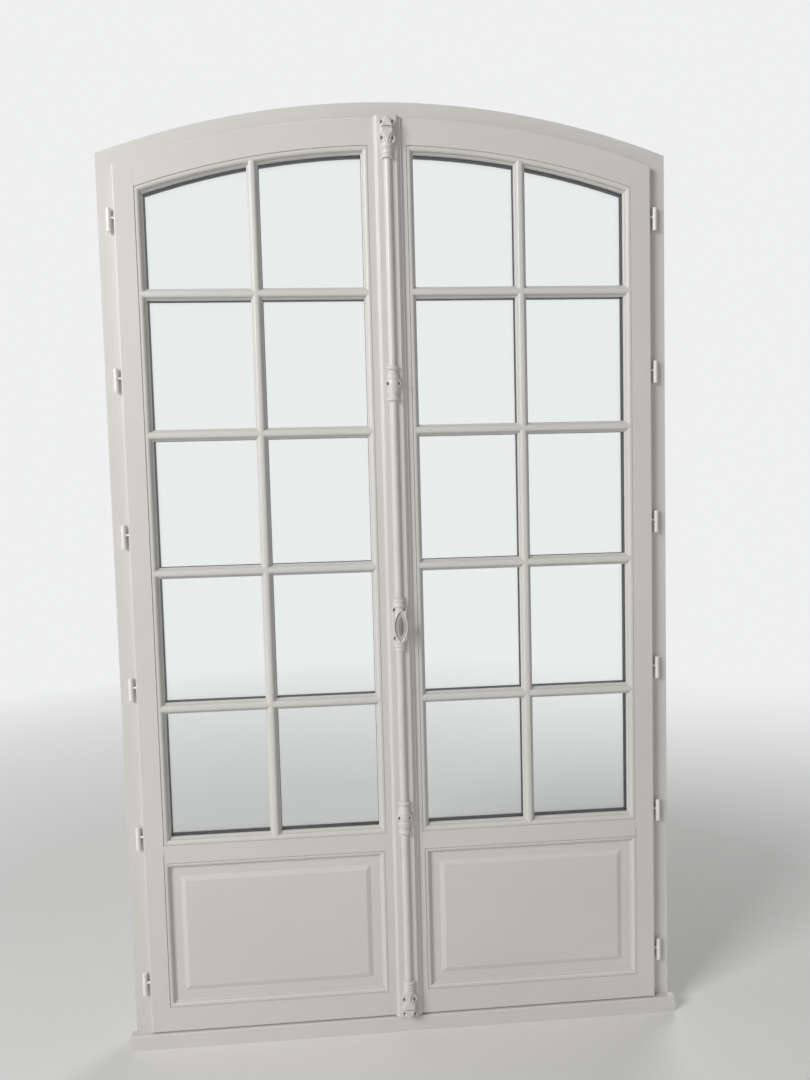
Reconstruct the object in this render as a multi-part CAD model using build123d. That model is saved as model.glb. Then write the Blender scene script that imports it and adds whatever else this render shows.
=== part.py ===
from build123d import *
import os
from collections import namedtuple
from math import acos, asin, cos, degrees, pi, radians, sin, sqrt, tan

# A pair of inward-opening french doors with an arched head, in their own frame.
# Millimetres. +X is to the right seen from the room, +Y is outdoors, +Z is up.
# The origin is on the floor, midway between the jambs, in the plane of the leaves' room-side face.

# Frame
frame_width = 1350.0
frame_height = 2272.0
head_rise = 120.0
frame_depth = 58.0
frame_setback = 18.0
visible_frame_face = 40.3
leaf_overlap = 15.0
rebate_gap = 4.0
stop_cover = 14.0
stop_depth = 15.0
frame_seal_width = 6.0
leaf_to_seal_gap = 0.3

# Sill
sill_board_height = 38.0
sill_board_proud = 4.0
sill_board_overhang = 11.0
sill_board_round = 3.0
sill_nose_length = 24.0
sill_nose_height = 16.0
sill_nose_rise = 10.0
drip_groove_radius = 3.0
drip_groove_setback = 9.0
lip_to_board_gap = 3.0

# Wall fixings through each jamb
fixing_hole_radius = 4.0
fixing_depth = 40.0
fixing_middle = 1100.0
fixing_spacing = 1400.0

# Leaves
leaf_thickness = 58.0
lip_thickness = 17.0
leaf_arris_round = 3.0
hinge_stile_face = 48.0
meeting_groove = 45.4
top_rail_face = 63.9
bottom_rail_face = 61.5
mid_rail_face = 44.0
panel_height = 364.5
panel_groove_shift = 3.8
hinge_panel_groove_shift = 1.8

# Meeting joint of the two leaves, hidden behind the cover strip
active_front_edge = -26.0
active_rear_edge = -4.0
meeting_step_depth = 38.0
meeting_front_gap = 3.0
meeting_rear_gap = 5.0
meeting_step_gap = 1.5

# Mouldings, worked on the inner edges of stiles and rails
quirk_width = 1.5
quirk_depth = 2.2
bead_drop = 1.0
bead_width = 3.0
glazing_ovolo = 7.5
glazing_fillet_drop = 1.5
glazing_fillet_width = 2.0
glazing_slope_width = 2.5
glazing_slope_drop = 3.0
panel_ovolo = 6.0
panel_fillet_drop = 1.0
panel_fillet_width = 2.0
panel_slope_width = 1.5
panel_slope_drop = 1.5
rebate_setback = 2.5
arch_tip_stretch = 1.03

# Insulating glass, glazing bars and outside beads
glass_front = 18.5
glass_thickness = 4.0
glass_space = 16.0
glass_edge_clearance = 2.0
spacer_inset = 0.5
bar_half_width = 13.5
bar_pitch_share = 0.1976
first_row_extra = 8.1
bar_rows = 4
outer_bar_depth = 10.0
outer_bar_splay = 5.0
bead_front_land = 4.0
bead_rear_width = 6.0
bead_setback = 1.0

# Raised panel
panel_front = 11.0
field_margin = 48.0
field_bevel = 4.0
field_rise = 5.0

# Drip rail on the outside of each leaf
drip_rail_height = 45.0
drip_rail_depth = 30.0
drip_rail_belly = 12.0
drip_rail_lip = 10.0
drip_rail_end_gap = 5.0
drip_rail_above_stop = 6.0
drip_rail_meeting_gap = 16.0

# Hinges
hinge_count = 6
lowest_hinge = 161.1
top_hinge_drop = 272.4
hinge_axis_from_edge = 13.5
hinge_axis_depth = 10.0
barrel_radius = 5.5
barrel_half_length = 27.5
barrel_joint_gap = 0.3
barrel_cap_round = 1.5
hinge_pin_radius = 3.0
hinge_pin_clearance = 0.05
hinge_pin_reach = 22.0
hinge_stem_radius = 2.8
leaf_stem_height = 4.5
frame_stem_drop = 13.0
leaf_stem_reach = 30.0
frame_stem_reach = 35.0
screwed_fit = 0.05

# Cover strip over the meeting joint
cover_half_width = 33.0
cover_flat_half = 22.4
cover_thickness = 12.0
cover_step = 1.5
cover_edge = 4.0
cover_edge_land = 1.5
cover_ogee_swell = 0.7
cover_seal_gap = 0.6

# Surface bolt trim on the cover strip
rod_radius = 9.0
rod_fit = 0.15
trim_plate_thickness = 8.0
trim_bevel = 1.2
eyelet_half_width = 3.0
eyelet_half_height = 4.2
eyelet_depth = 4.5
screw_head_radius = 2.6
screw_head_rise = 1.2
screw_head_round = 0.7
screw_shank_radius = 1.6
screw_length = 26.0

# Rod-end caps: turned rings at the rod, then a screwed plate with a raised ornament
top_cap_clearance = 7.0
bottom_cap_clearance = 3.0
cap_leaf_rise = 3.0
cap_block_half_width = 13.0
cap_block_rise = 7.0
cap_block_bevel = 1.5
cap_slot_place = 36.6
cap_slot_height = 2.0
cap_slot_depth = 2.5
cap_slot_end_land = 1.8
cap_ledge_radius = 1.8
cap_rib_radius = 1.4
cap_screw_across = 12.8
cap_screw_heights = (12.8, 49.0)

# Rod guides
guide_height = 83.0
upper_guide_centre = 1611.0
lower_guide_centre = 555.0
guide_barrel_radius = 13.6
guide_barrel_bulge = 1.0
guide_ear_half_width = 19.2
guide_ear_half_height = 9.0
guide_ear_shoulder_across = 17.0
guide_ear_shoulder_height = 5.4
guide_screw_across = 13.3

# Handle box
handle_height = 1036.0
handle_box_height = 129.0
handle_corner_half_width = 18.6
handle_corner_drop = 4.0
handle_waist_half_width = 16.4
handle_end_half_width = 11.5
handle_dome_end_radius = 11.0
handle_dome_radius = 13.5
handle_boss_margin = 4.0
handle_boss_rise = 6.0
handle_screw_across = 12.7
handle_screw_height = 34.7

# Knob and its spindle
knob_half_width = 16.2
knob_half_height = 40.5
knob_face_proud = 50.0
knob_thickness = 11.0
knob_side_height = 4.5
knob_back_inset = 7.0
knob_rim = 1.4
knob_recess = 3.0
knob_floor_inset = 3.2
knob_ridge_radius = 8.0
knob_ridge_rise = 2.8
knob_neck_radius = 8.0
knob_neck_clearance = 0.1
spindle_side = 6.0
spindle_hole_radius = 5.6
spindle_overrun = 2.0

# Concealed lock: rack bolts driven by the knob's pinion, in the active meeting stile
bolt_travel = 20.0
knob_turn = 180.0
bolt_side = 8.0
bolt_clearance = 0.25
bolt_depth_centre = 29.0
edge_plate_width = 16.0
edge_plate_thickness = 2.5
edge_plate_end_gap = 1.0
lock_case_half_height = 70.0
lock_case_right = 15.0
lock_case_depth = 14.0
lock_case_wall = 1.5
pinion_thickness = 8.0
pinion_teeth = 12
pressure_angle = 20.0
pinion_addendum = 0.85
rack_addendum = 0.7
tooth_root_gap = 0.15
tooth_backlash = 0.16
rack_back_thickness = 3.4
rack_spare_teeth = 3
rack_first_tooth = 1.5
bolt_setback = 2.5
keep_thickness = 3.0
keep_half_length = 34.0
keep_width = 20.0
keep_proud = 0.4
keep_hole_clearance = 0.6
keep_mortise_depth = 26.0

# Flush bolts that hold the passive leaf
flush_bolt_length = 160.0
flush_plate_length = 200.0
flush_plate_thickness = 2.0
flush_lug_height = 14.0
flush_lug_rise = 1.5
flush_slot_margin = 1.0

# Worked-out places
half_width = frame_width / 2
head_radius = (half_width ** 2 + head_rise ** 2) / (2 * head_rise)
arch_centre_height = frame_height - head_radius
frame_front = frame_setback
frame_back = frame_front + frame_depth
stop_front = frame_back - stop_depth
lip_edge = half_width - visible_frame_face
body_edge = lip_edge - leaf_overlap
body_inset = visible_frame_face + leaf_overlap
frame_rebate_inset = body_inset - rebate_gap
frame_stop_inset = frame_rebate_inset + stop_cover
frame_rebate_edge = half_width - frame_rebate_inset
frame_stop_edge = half_width - frame_stop_inset
lip_bottom = sill_board_height + lip_to_board_gap
body_bottom = lip_bottom + leaf_overlap
sill_rebate_height = body_bottom - rebate_gap
sill_stop_height = sill_rebate_height + stop_cover
hinge_groove = lip_edge - hinge_stile_face
hinge_panel_groove = hinge_groove + hinge_panel_groove_shift
meeting_panel_groove = meeting_groove + panel_groove_shift
panel_bottom = lip_bottom + bottom_rail_face
panel_top = panel_bottom + panel_height
glass_bottom = panel_top + mid_rail_face
glass_inset = visible_frame_face + top_rail_face
glazed_height = frame_height - glass_inset - glass_bottom
bar_pitch = bar_pitch_share * glazed_height
first_bar_height = glass_bottom + bar_pitch + first_row_extra
mid_rail_centre = (panel_top + glass_bottom) / 2
glass_back = glass_front + 2 * glass_thickness + glass_space
hinge_axis = lip_edge + hinge_axis_from_edge
hinge_pitch = (frame_height - top_hinge_drop - lowest_hinge) / (hinge_count - 1)
cover_face = -cover_thickness
leaf_crown = frame_height - visible_frame_face
bolt_centre = active_front_edge + edge_plate_thickness + bolt_clearance + bolt_side / 2
passive_edge = active_front_edge - meeting_front_gap
flush_bolt_centre = passive_edge - flush_plate_thickness - bolt_clearance - bolt_side / 2
pinion_radius = bolt_travel / radians(knob_turn)
tooth_pitch = 2 * pi * pinion_radius / pinion_teeth
rack_root = pinion_radius + pinion_addendum + tooth_root_gap
rack_tip = pinion_radius - rack_addendum
far = 60.0
cut_past = 1.0
arch_end_margin = 2.0
face_tolerance = 0.01
beyond = frame_height + far

Bend = namedtuple("Bend", "through to")
Moulding = namedtuple("Moulding", "path width start")
Ring = namedtuple("Ring", "height foot waist top")
on_its_end = (Align.CENTER, Align.CENTER, Align.MIN)


# Drawing helpers

def closed_face(path):
    """A face inside a closed path of points, where a Bend is an arc to its last point."""
    here = path[0]
    edges = []
    for step in path[1:] + path[:1]:
        if isinstance(step, Bend):
            edges.append(ThreePointArc(here, step.through, step.to))
            here = step.to
        elif step != here:
            edges.append(Line(here, step))
            here = step
    return make_face(edges)


def placed(path, place):
    """The same path with every point moved by the place function."""
    moved = []
    for step in path:
        if isinstance(step, Bend):
            moved.append(Bend(place(*step.through), place(*step.to)))
        else:
            moved.append(place(*step))
    return moved


def upright(face, front, back):
    """A plate standing in the door's plane: the face's x is across and its y is up."""
    plate = extrude(face, amount=back - front)
    return Pos(0, back, 0) * Rot(90, 0, 0) * plate


def column(face, bottom, top):
    """A vertical prism whose face is drawn as across and depth."""
    return Pos(0, 0, bottom) * extrude(face, amount=top - bottom)


def rail_prism(face, left, right):
    """A horizontal prism whose face is drawn as depth and height."""
    return Pos(left, 0, 0) * extrude(Plane.YZ * face, amount=right - left)


def block(left, right, front, back, bottom, top):
    """A plain rectangular block between six planes."""
    size = Box(right - left, back - front, top - bottom, align=Align.MIN)
    return Pos(left, front, bottom) * size


def standing_cylinder(radius, bottom, top):
    """A cylinder on the height axis between two heights."""
    return Pos(0, 0, bottom) * Cylinder(radius, top - bottom, align=on_its_end)


def arch_height(across, inset):
    """The height of the arch that lies inset below the frame's outer arch."""
    return arch_centre_height + sqrt((head_radius - inset) ** 2 - across ** 2)


def arched_face(left, right, bottom, inset):
    """A face with square lower corners and the arch as its upper edge."""
    middle = (left + right) / 2
    return closed_face([
        (left, bottom),
        (right, bottom),
        (right, arch_height(right, inset)),
        Bend((middle, arch_height(middle, inset)), (left, arch_height(left, inset))),
    ])


def arched_prism(face):
    """A ring segment that follows the arch; its face is drawn at the crown as depth and height."""
    half_angle = degrees(asin(half_width / head_radius)) + arch_end_margin
    axis = Axis((0, 0, arch_centre_height), (0, 1, 0))
    ring = revolve(Plane.YZ * face, axis, revolution_arc=2 * half_angle)
    return ring.rotate(axis, -half_angle)


def turned(path, height):
    """A half-round turning on the cover strip; its path is radius and height above its foot."""
    whole = revolve(Plane.XZ * closed_face(path), Axis.Z)
    front_half = block(-far, far, -far, 0, -far, 2 * far)
    return Pos(0, cover_face, height) * (whole & front_half)


def group(solids):
    """Separate solids that share one node."""
    return Compound(children=list(solids))


def mirrored(shape):
    return mirror(shape, about=Plane.YZ)


# Mouldings and the sections of the members that carry them

def worked_moulding(ovolo, fillet_drop, fillet_width, slope_width, slope_drop):
    """A quirk, a flat bead, an ovolo, a fillet and a slope, from the face towards the infill."""
    start = quirk_width + bead_width
    end = start + ovolo
    bulge = ovolo * (1 - sqrt(0.5))
    fillet_depth = bead_drop + ovolo + fillet_drop
    width = end + fillet_width + slope_width
    path = [
        (0, 0),
        (0, quirk_depth),
        (quirk_width, quirk_depth),
        (quirk_width, bead_drop),
        (start, bead_drop),
        Bend((end - bulge, bead_drop + bulge), (end, bead_drop + ovolo)),
        (end, fillet_depth),
        (end + fillet_width, fillet_depth),
        (width, fillet_depth + slope_drop),
    ]
    return Moulding(path, width, start)


glazing = worked_moulding(
    glazing_ovolo, glazing_fillet_drop, glazing_fillet_width, glazing_slope_width, glazing_slope_drop
)
panelling = worked_moulding(
    panel_ovolo, panel_fillet_drop, panel_fillet_width, panel_slope_width, panel_slope_drop
)
mitre_reach = glazing.width - glazing.start
steps_before_ovolo = 5
glass_edge = rebate_setback + glass_edge_clearance


def member_path(moulding, infill_front, tail):
    """A moulded member's section as distance towards the infill and depth, ending in its tail."""
    return moulding.path + [
        (moulding.width, infill_front),
        (rebate_setback, infill_front),
        (rebate_setback, leaf_thickness),
    ] + tail


def plain_tail(reach):
    return [(-reach, leaf_thickness), (-reach, 0)]


def meeting_tail(groove, front_edge, rear_edge, step_depth):
    """The stepped edge where one leaf laps over the other."""
    return [
        (rear_edge - groove, leaf_thickness),
        (rear_edge - groove, step_depth),
        (front_edge - groove, step_depth),
        (front_edge - groove, 0),
    ]


def towards_left(groove):
    return lambda across, depth: (groove - across, depth)


def towards_right(groove):
    return lambda across, depth: (groove + across, depth)


def upward(groove):
    return lambda across, depth: (depth, groove + across)


def downward(groove):
    return lambda across, depth: (depth, groove - across)


# Regions in the door's plane that cut each member to its shoulders and mitres

def stile_region(outside, groove, panel_groove, inward):
    """A stile's outline: square shoulders, with mitres through the mouldings."""
    sight = groove + inward * glazing.width
    panel_sight = panel_groove + inward * panelling.width
    return closed_face([
        (outside, -far),
        (panel_groove, -far),
        (panel_groove, panel_bottom),
        (panel_sight, panel_bottom + panelling.width),
        (panel_sight, panel_top - panelling.width),
        (panel_groove, panel_top),
        (groove, panel_top),
        (groove, glass_bottom),
        (sight, glass_bottom + glazing.width),
        (sight, arch_height(sight, glass_inset + glazing.width)),
        (groove, arch_height(groove, glass_inset)),
        (groove, beyond),
        (outside, beyond),
    ])


def glass_corner(groove, inward, offset):
    across = groove + inward * offset
    return (across, arch_height(across, glass_inset + offset))


def top_rail_region():
    left_sight = glass_corner(meeting_groove, 1, glazing.width)
    right_sight = glass_corner(hinge_groove, -1, glazing.width)
    return closed_face([
        (meeting_groove, beyond),
        glass_corner(meeting_groove, 1, 0),
        left_sight,
        (left_sight[0], right_sight[1]),
        right_sight,
        glass_corner(hinge_groove, -1, 0),
        (hinge_groove, beyond),
    ])


def mid_rail_region():
    return closed_face([
        (meeting_groove, glass_bottom),
        (meeting_groove + glazing.width, glass_bottom + glazing.width),
        (hinge_groove - glazing.width, glass_bottom + glazing.width),
        (hinge_groove, glass_bottom),
        (hinge_groove, panel_top),
        (hinge_panel_groove, panel_top),
        (hinge_panel_groove - panelling.width, panel_top - panelling.width),
        (meeting_panel_groove + panelling.width, panel_top - panelling.width),
        (meeting_panel_groove, panel_top),
        (meeting_groove, panel_top),
    ])


def bottom_rail_region():
    return closed_face([
        (meeting_panel_groove, -far),
        (meeting_panel_groove, panel_bottom),
        (meeting_panel_groove + panelling.width, panel_bottom + panelling.width),
        (hinge_panel_groove - panelling.width, panel_bottom + panelling.width),
        (hinge_panel_groove, panel_bottom),
        (hinge_panel_groove, -far),
    ])


# Glazing bars

bar_centre = (meeting_groove + hinge_groove) / 2
row_heights = [first_bar_height + row * bar_pitch for row in range(bar_rows)]


def cross_bar_plan(left, right, height, reach):
    """A cross bar between two sight lines, with pointed ends that reach into what it meets."""
    flat = bar_half_width - reach
    return closed_face([
        (left, height - bar_half_width),
        (right, height - bar_half_width),
        (right + reach, height - flat),
        (right + reach, height + flat),
        (right, height + bar_half_width),
        (left, height + bar_half_width),
        (left - reach, height + flat),
        (left - reach, height - flat),
    ])


def upright_bar_plan(reach):
    """The long bar, pointed at its foot and, where it meets the arch, at its top."""
    flat = bar_half_width - reach
    left = bar_centre - bar_half_width
    right = bar_centre + bar_half_width
    foot = glass_bottom + glazing.width
    sight_inset = glass_inset + glazing.width
    tip_inset = sight_inset - reach * arch_tip_stretch
    return closed_face([
        (left, foot),
        (bar_centre - flat, foot - reach),
        (bar_centre + flat, foot - reach),
        (right, foot),
        (right, arch_height(right, sight_inset)),
        (bar_centre + flat, arch_height(bar_centre + flat, tip_inset)),
        (bar_centre - flat, arch_height(bar_centre - flat, tip_inset)),
        (left, arch_height(left, sight_inset)),
    ])


def cross_bar_spans():
    """The left and right sight lines of the two halves of every cross bar, with its height."""
    spans = []
    for height in row_heights:
        spans.append((meeting_groove + glazing.width, bar_centre - bar_half_width, height))
        spans.append((bar_centre + bar_half_width, hinge_groove - glazing.width, height))
    return spans


def bar_half_path():
    """Half of the room-side bar's section as distance from its centre and depth."""
    centre = glazing.width - bar_half_width
    from_ovolo = glazing.path[steps_before_ovolo:]
    moulded = placed(from_ovolo, lambda across, depth: (across - centre, depth))
    crest = [(0, glass_front), (0, bead_drop), (bar_half_width - mitre_reach, bead_drop)]
    return crest + moulded + [(bar_half_width, glass_front)]


def outer_bar_half_path():
    """Half of the outdoor bar's section."""
    outside = glass_back + outer_bar_depth
    return [
        (0, glass_back),
        (bar_half_width, glass_back),
        (bar_half_width - outer_bar_splay, outside),
        (0, outside),
    ]


def bar_set(half_path, front, back, reach):
    """One upright bar and the halves of the cross bars, coped into each other."""
    cross_plans = [cross_bar_plan(*span, reach) for span in cross_bar_spans()]
    cross_cutters = [upright(plan, front, back) for plan in cross_plans]
    across = closed_face(placed(half_path, lambda side, depth: (bar_centre + side, depth)))
    across = across + mirror(across, about=Plane.YZ.offset(bar_centre))
    upright_bar = column(across, glass_bottom, beyond) & upright(upright_bar_plan(reach), front, back)
    bars = [upright_bar - cross_cutters]
    for (left, right, height), cutter in zip(cross_bar_spans(), cross_cutters):
        upper = closed_face(placed(half_path, lambda side, depth: (depth, height + side)))
        lower = closed_face(placed(half_path, lambda side, depth: (depth, height - side)))
        bar = rail_prism(upper + lower, left - reach, right + reach)
        bars.append(bar & cutter)
    return bars


def bar_notches():
    """The pointed ends of the bars, taken out of the mouldings that they meet."""
    plans = [cross_bar_plan(*span, mitre_reach) for span in cross_bar_spans()]
    plans.append(upright_bar_plan(mitre_reach))
    return [upright(plan, -far, glass_front) for plan in plans]


# One leaf, drawn as the right-hand one

def leaf_envelope():
    """The space of a leaf: the lip that laps over the frame and the body inside its rebate."""
    lip = upright(arched_face(-far, lip_edge, lip_bottom, visible_frame_face), 0, lip_thickness)
    front_edges = lip.edges().filter_by(lambda edge: abs((edge @ 0.5).Y) < face_tolerance)
    outer_edges = front_edges.filter_by(lambda edge: (edge @ 0.5).X > -far + cut_past)
    lip = fillet(outer_edges, leaf_arris_round)
    body = upright(
        arched_face(-far, body_edge, body_bottom, body_inset), lip_thickness, leaf_thickness
    )
    return lip + body


def stile(place_glazed, place_panelled, region, glazed_tail, panelled_tail, envelope):
    """A stile moulded for the glass above the middle of the mid rail and for the panel below."""
    glazed = closed_face(placed(member_path(glazing, glass_front, glazed_tail), place_glazed))
    panelled = closed_face(
        placed(member_path(panelling, panel_front, panelled_tail), place_panelled)
    )
    blank = column(glazed, mid_rail_centre, beyond) + column(panelled, 0, mid_rail_centre)
    return blank & upright(region, 0, leaf_thickness) & envelope


def hinge_stile(envelope):
    return stile(
        towards_left(hinge_groove),
        towards_left(hinge_panel_groove),
        stile_region(half_width, hinge_groove, hinge_panel_groove, -1),
        plain_tail(far),
        plain_tail(far),
        envelope,
    )


def meeting_stile(front_edge, rear_edge, step_depth, envelope):
    glazed_tail = meeting_tail(meeting_groove, front_edge, rear_edge, step_depth)
    panelled_tail = meeting_tail(meeting_panel_groove, front_edge, rear_edge, step_depth)
    return stile(
        towards_right(meeting_groove),
        towards_right(meeting_panel_groove),
        stile_region(-far, meeting_groove, meeting_panel_groove, 1),
        glazed_tail,
        panelled_tail,
        envelope,
    )


def top_rail(envelope):
    crown = frame_height - glass_inset
    path = placed(member_path(glazing, glass_front, plain_tail(top_rail_face + far)), downward(crown))
    ring = arched_prism(closed_face(path))
    return ring & upright(top_rail_region(), 0, leaf_thickness) & envelope


def mid_rail():
    half = mid_rail_face / 2
    above = placed(member_path(glazing, glass_front, plain_tail(half)), upward(glass_bottom))
    below = placed(member_path(panelling, panel_front, plain_tail(half)), downward(panel_top))
    bar = rail_prism(closed_face(above), 0, half_width) + rail_prism(closed_face(below), 0, half_width)
    return bar & upright(mid_rail_region(), 0, leaf_thickness)


def bottom_rail(envelope):
    tail = plain_tail(panel_bottom)
    path = placed(member_path(panelling, panel_front, tail), upward(panel_bottom))
    bar = rail_prism(closed_face(path), 0, half_width)
    return bar & upright(bottom_rail_region(), 0, leaf_thickness) & envelope


def raised_panel():
    """A panel held in the rebates, with a bevelled field standing up on both faces."""
    left = meeting_panel_groove + glass_edge
    right = hinge_panel_groove - glass_edge
    panel = block(
        left, right, panel_front, glass_back, panel_bottom + glass_edge, panel_top - glass_edge
    )
    for face_depth, rise in ((panel_front, -field_rise), (glass_back, field_rise)):
        panel += raised_field(face_depth, face_depth + rise)
    return panel


def raised_field(base_depth, top_depth):
    centre = ((meeting_panel_groove + hinge_panel_groove) / 2, (panel_bottom + panel_top) / 2)
    width = hinge_panel_groove - meeting_panel_groove - 2 * field_margin
    height = panel_height - 2 * field_margin
    base_plane = Plane.XZ.offset(-base_depth)
    top_plane = Plane.XZ.offset(-top_depth)
    base = base_plane * Pos(*centre) * Rectangle(width, height)
    top = top_plane * Pos(*centre) * Rectangle(width - 2 * field_bevel, height - 2 * field_bevel)
    return loft([base, top])


def glass_outline(offset):
    return arched_face(
        meeting_groove + offset, hinge_groove - offset, glass_bottom + offset, glass_inset + offset
    )


def pane(front):
    return upright(glass_outline(glass_edge), front, front + glass_thickness)


def spacer_grid():
    """The dark spacer between the panes, with a cross web behind every glazing bar."""
    front = glass_front + glass_thickness
    edge = glazing.width - spacer_inset
    web = bar_half_width - spacer_inset
    grid = glass_outline(glass_edge)
    columns = [
        (meeting_groove + edge, bar_centre - web),
        (bar_centre + web, hinge_groove - edge),
    ]
    feet = [glass_bottom + edge] + [height + web for height in row_heights]
    heads = [height - web for height in row_heights]
    for left, right in columns:
        for foot, head in zip(feet, heads):
            grid -= closed_face([(left, foot), (right, foot), (right, head), (left, head)])
        grid -= arched_face(left, right, feet[-1], glass_inset + edge)
    return upright(grid, front, front + glass_space)


def bead_path():
    """An outside bead as distance towards the infill and depth."""
    outside = leaf_thickness - bead_setback
    return [
        (rebate_setback, glass_back),
        (glazing.width, glass_back),
        (glazing.width, glass_back + bead_front_land),
        (rebate_setback + bead_rear_width, outside),
        (rebate_setback, outside),
    ]


def side_bead_region(groove, inward, foot, head):
    """A side bead's outline between two mitred corners, given as functions of the offset."""
    reach = glazing.width + cut_past
    return closed_face([
        foot(groove, inward, 0),
        foot(groove, inward, reach),
        head(groove, inward, reach),
        head(groove, inward, 0),
    ])


def level_corner(height, upwards):
    return lambda groove, inward, offset: (groove + inward * offset, height + upwards * offset)


def bead_frame(left_groove, right_groove, foot, foot_height, head, head_bar):
    """Four mitred beads round one opening; head_bar is the blank of the one along its top."""
    path = bead_path()
    left_face = closed_face(placed(path, towards_right(left_groove)))
    right_face = closed_face(placed(path, towards_left(right_groove)))
    foot_face = closed_face(placed(path, upward(foot_height)))
    front = glass_back
    back = leaf_thickness
    reach = glazing.width + cut_past
    left_region = side_bead_region(left_groove, 1, foot, head)
    right_region = side_bead_region(right_groove, -1, foot, head)
    foot_region = closed_face([
        foot(left_groove, 1, 0),
        foot(right_groove, -1, 0),
        foot(right_groove, -1, reach),
        foot(left_groove, 1, reach),
    ])
    head_right = head(right_groove, -1, reach)
    head_left = head(left_groove, 1, reach)
    head_region = closed_face([
        head(left_groove, 1, 0),
        head_left,
        (head_left[0], head_right[1]),
        head_right,
        head(right_groove, -1, 0),
        (right_groove, beyond),
        (left_groove, beyond),
    ])
    return [
        column(left_face, 0, beyond) & upright(left_region, front, back),
        column(right_face, 0, beyond) & upright(right_region, front, back),
        rail_prism(foot_face, 0, half_width) & upright(foot_region, front, back),
        head_bar & upright(head_region, front, back),
    ]


def glazing_beads():
    head_face = closed_face(placed(bead_path(), downward(frame_height - glass_inset)))
    return bead_frame(
        meeting_groove,
        hinge_groove,
        level_corner(glass_bottom, 1),
        glass_bottom,
        glass_corner,
        arched_prism(head_face),
    )


def panel_beads():
    head_face = closed_face(placed(bead_path(), downward(panel_top)))
    return bead_frame(
        meeting_panel_groove,
        hinge_panel_groove,
        level_corner(panel_bottom, 1),
        panel_bottom,
        level_corner(panel_top, -1),
        rail_prism(head_face, 0, half_width),
    )


def drip_rail(left):
    """The weather moulding on the outside of the bottom rail, with a drip groove below."""
    foot = sill_stop_height + drip_rail_above_stop
    back = leaf_thickness + drip_rail_depth
    face = closed_face([
        (leaf_thickness, foot),
        (back, foot),
        (back, foot + drip_rail_lip),
        Bend(
            (leaf_thickness + drip_rail_belly, foot + drip_rail_height / 2),
            (leaf_thickness, foot + drip_rail_height),
        ),
    ])
    groove = Pos(back - drip_groove_setback, foot) * Circle(drip_groove_radius)
    return rail_prism(face - groove, left, frame_stop_edge - drip_rail_end_gap)


# Hinges, drawn for the right-hand leaf

def hinge_heights():
    return [lowest_hinge + place * hinge_pitch for place in range(hinge_count)]


def leaf_knuckle(height):
    """The upper half of a screw-in hinge, with its stem going into the leaf's edge."""
    half = barrel_half_length
    foot = barrel_joint_gap / 2
    barrel = standing_cylinder(barrel_radius, foot, half)
    barrel = fillet(barrel.edges().sort_by(Axis.Z)[-1], barrel_cap_round)
    stem_length = hinge_axis_from_edge + leaf_stem_reach
    stem = Pos(0, 0, leaf_stem_height) * Rot(0, -90, 0) * Cylinder(
        hinge_stem_radius, stem_length, align=on_its_end
    )
    bore_top = hinge_pin_reach + barrel_joint_gap
    bore = standing_cylinder(hinge_pin_radius + hinge_pin_clearance, 0, bore_top)
    return Pos(hinge_axis, hinge_axis_depth, height) * (barrel + stem - bore)


def frame_knuckle(height):
    """The lower half of the hinge, with its stem going back into the jamb."""
    half = barrel_half_length
    head = barrel_joint_gap / 2
    barrel = standing_cylinder(barrel_radius, -half, -head)
    barrel = fillet(barrel.edges().sort_by(Axis.Z)[0], barrel_cap_round)
    stem_length = frame_front - hinge_axis_depth + frame_stem_reach
    stem = Pos(0, 0, -frame_stem_drop) * Rot(-90, 0, 0) * Cylinder(
        hinge_stem_radius, stem_length, align=on_its_end
    )
    bore = standing_cylinder(hinge_pin_radius + hinge_pin_clearance, -hinge_pin_reach, 0)
    return Pos(hinge_axis, hinge_axis_depth, height) * (barrel + stem - bore)


def hinge_pin(height):
    pin = standing_cylinder(hinge_pin_radius, -hinge_pin_reach, hinge_pin_reach)
    return Pos(hinge_axis, hinge_axis_depth, height) * pin


def leaf_stem_holes():
    radius = hinge_stem_radius + screwed_fit
    holes = []
    for height in hinge_heights():
        hole = Rot(0, -90, 0) * Cylinder(radius, leaf_stem_reach + cut_past, align=on_its_end)
        start = Pos(lip_edge + cut_past, hinge_axis_depth, height + leaf_stem_height)
        holes.append(start * hole)
    return holes


def frame_stem_holes():
    radius = hinge_stem_radius + screwed_fit
    holes = []
    for height in hinge_heights():
        hole = Rot(-90, 0, 0) * Cylinder(
            radius, frame_stem_reach + cut_past, align=on_its_end
        )
        start = Pos(hinge_axis, frame_front - cut_past, height - frame_stem_drop)
        holes.append(start * hole)
    return holes


# Frame

def right_jamb():
    """An upright of the frame: rebated for the leaf, with a stop behind it."""
    face = closed_face([
        (half_width, frame_front),
        (half_width, frame_back),
        (frame_stop_edge, frame_back),
        (frame_stop_edge, stop_front),
        (frame_rebate_edge, stop_front),
        (frame_rebate_edge, frame_front),
    ])
    outline = arched_face(-half_width, half_width, 0, 0)
    post = column(face, 0, beyond) & upright(outline, frame_front, frame_back)
    return post - frame_stem_holes() - fixing_holes()


def fixing_holes():
    """Plain holes through a jamb, behind the leaf's edge, for the screws that hold it to a wall."""
    holes = []
    for end in (-1, 1):
        hole = Rot(0, 90, 0) * Cylinder(fixing_hole_radius, 4 * far)
        height = fixing_middle + end * fixing_spacing / 2
        holes.append(Pos(half_width, fixing_depth, height) * hole)
    return holes


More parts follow.
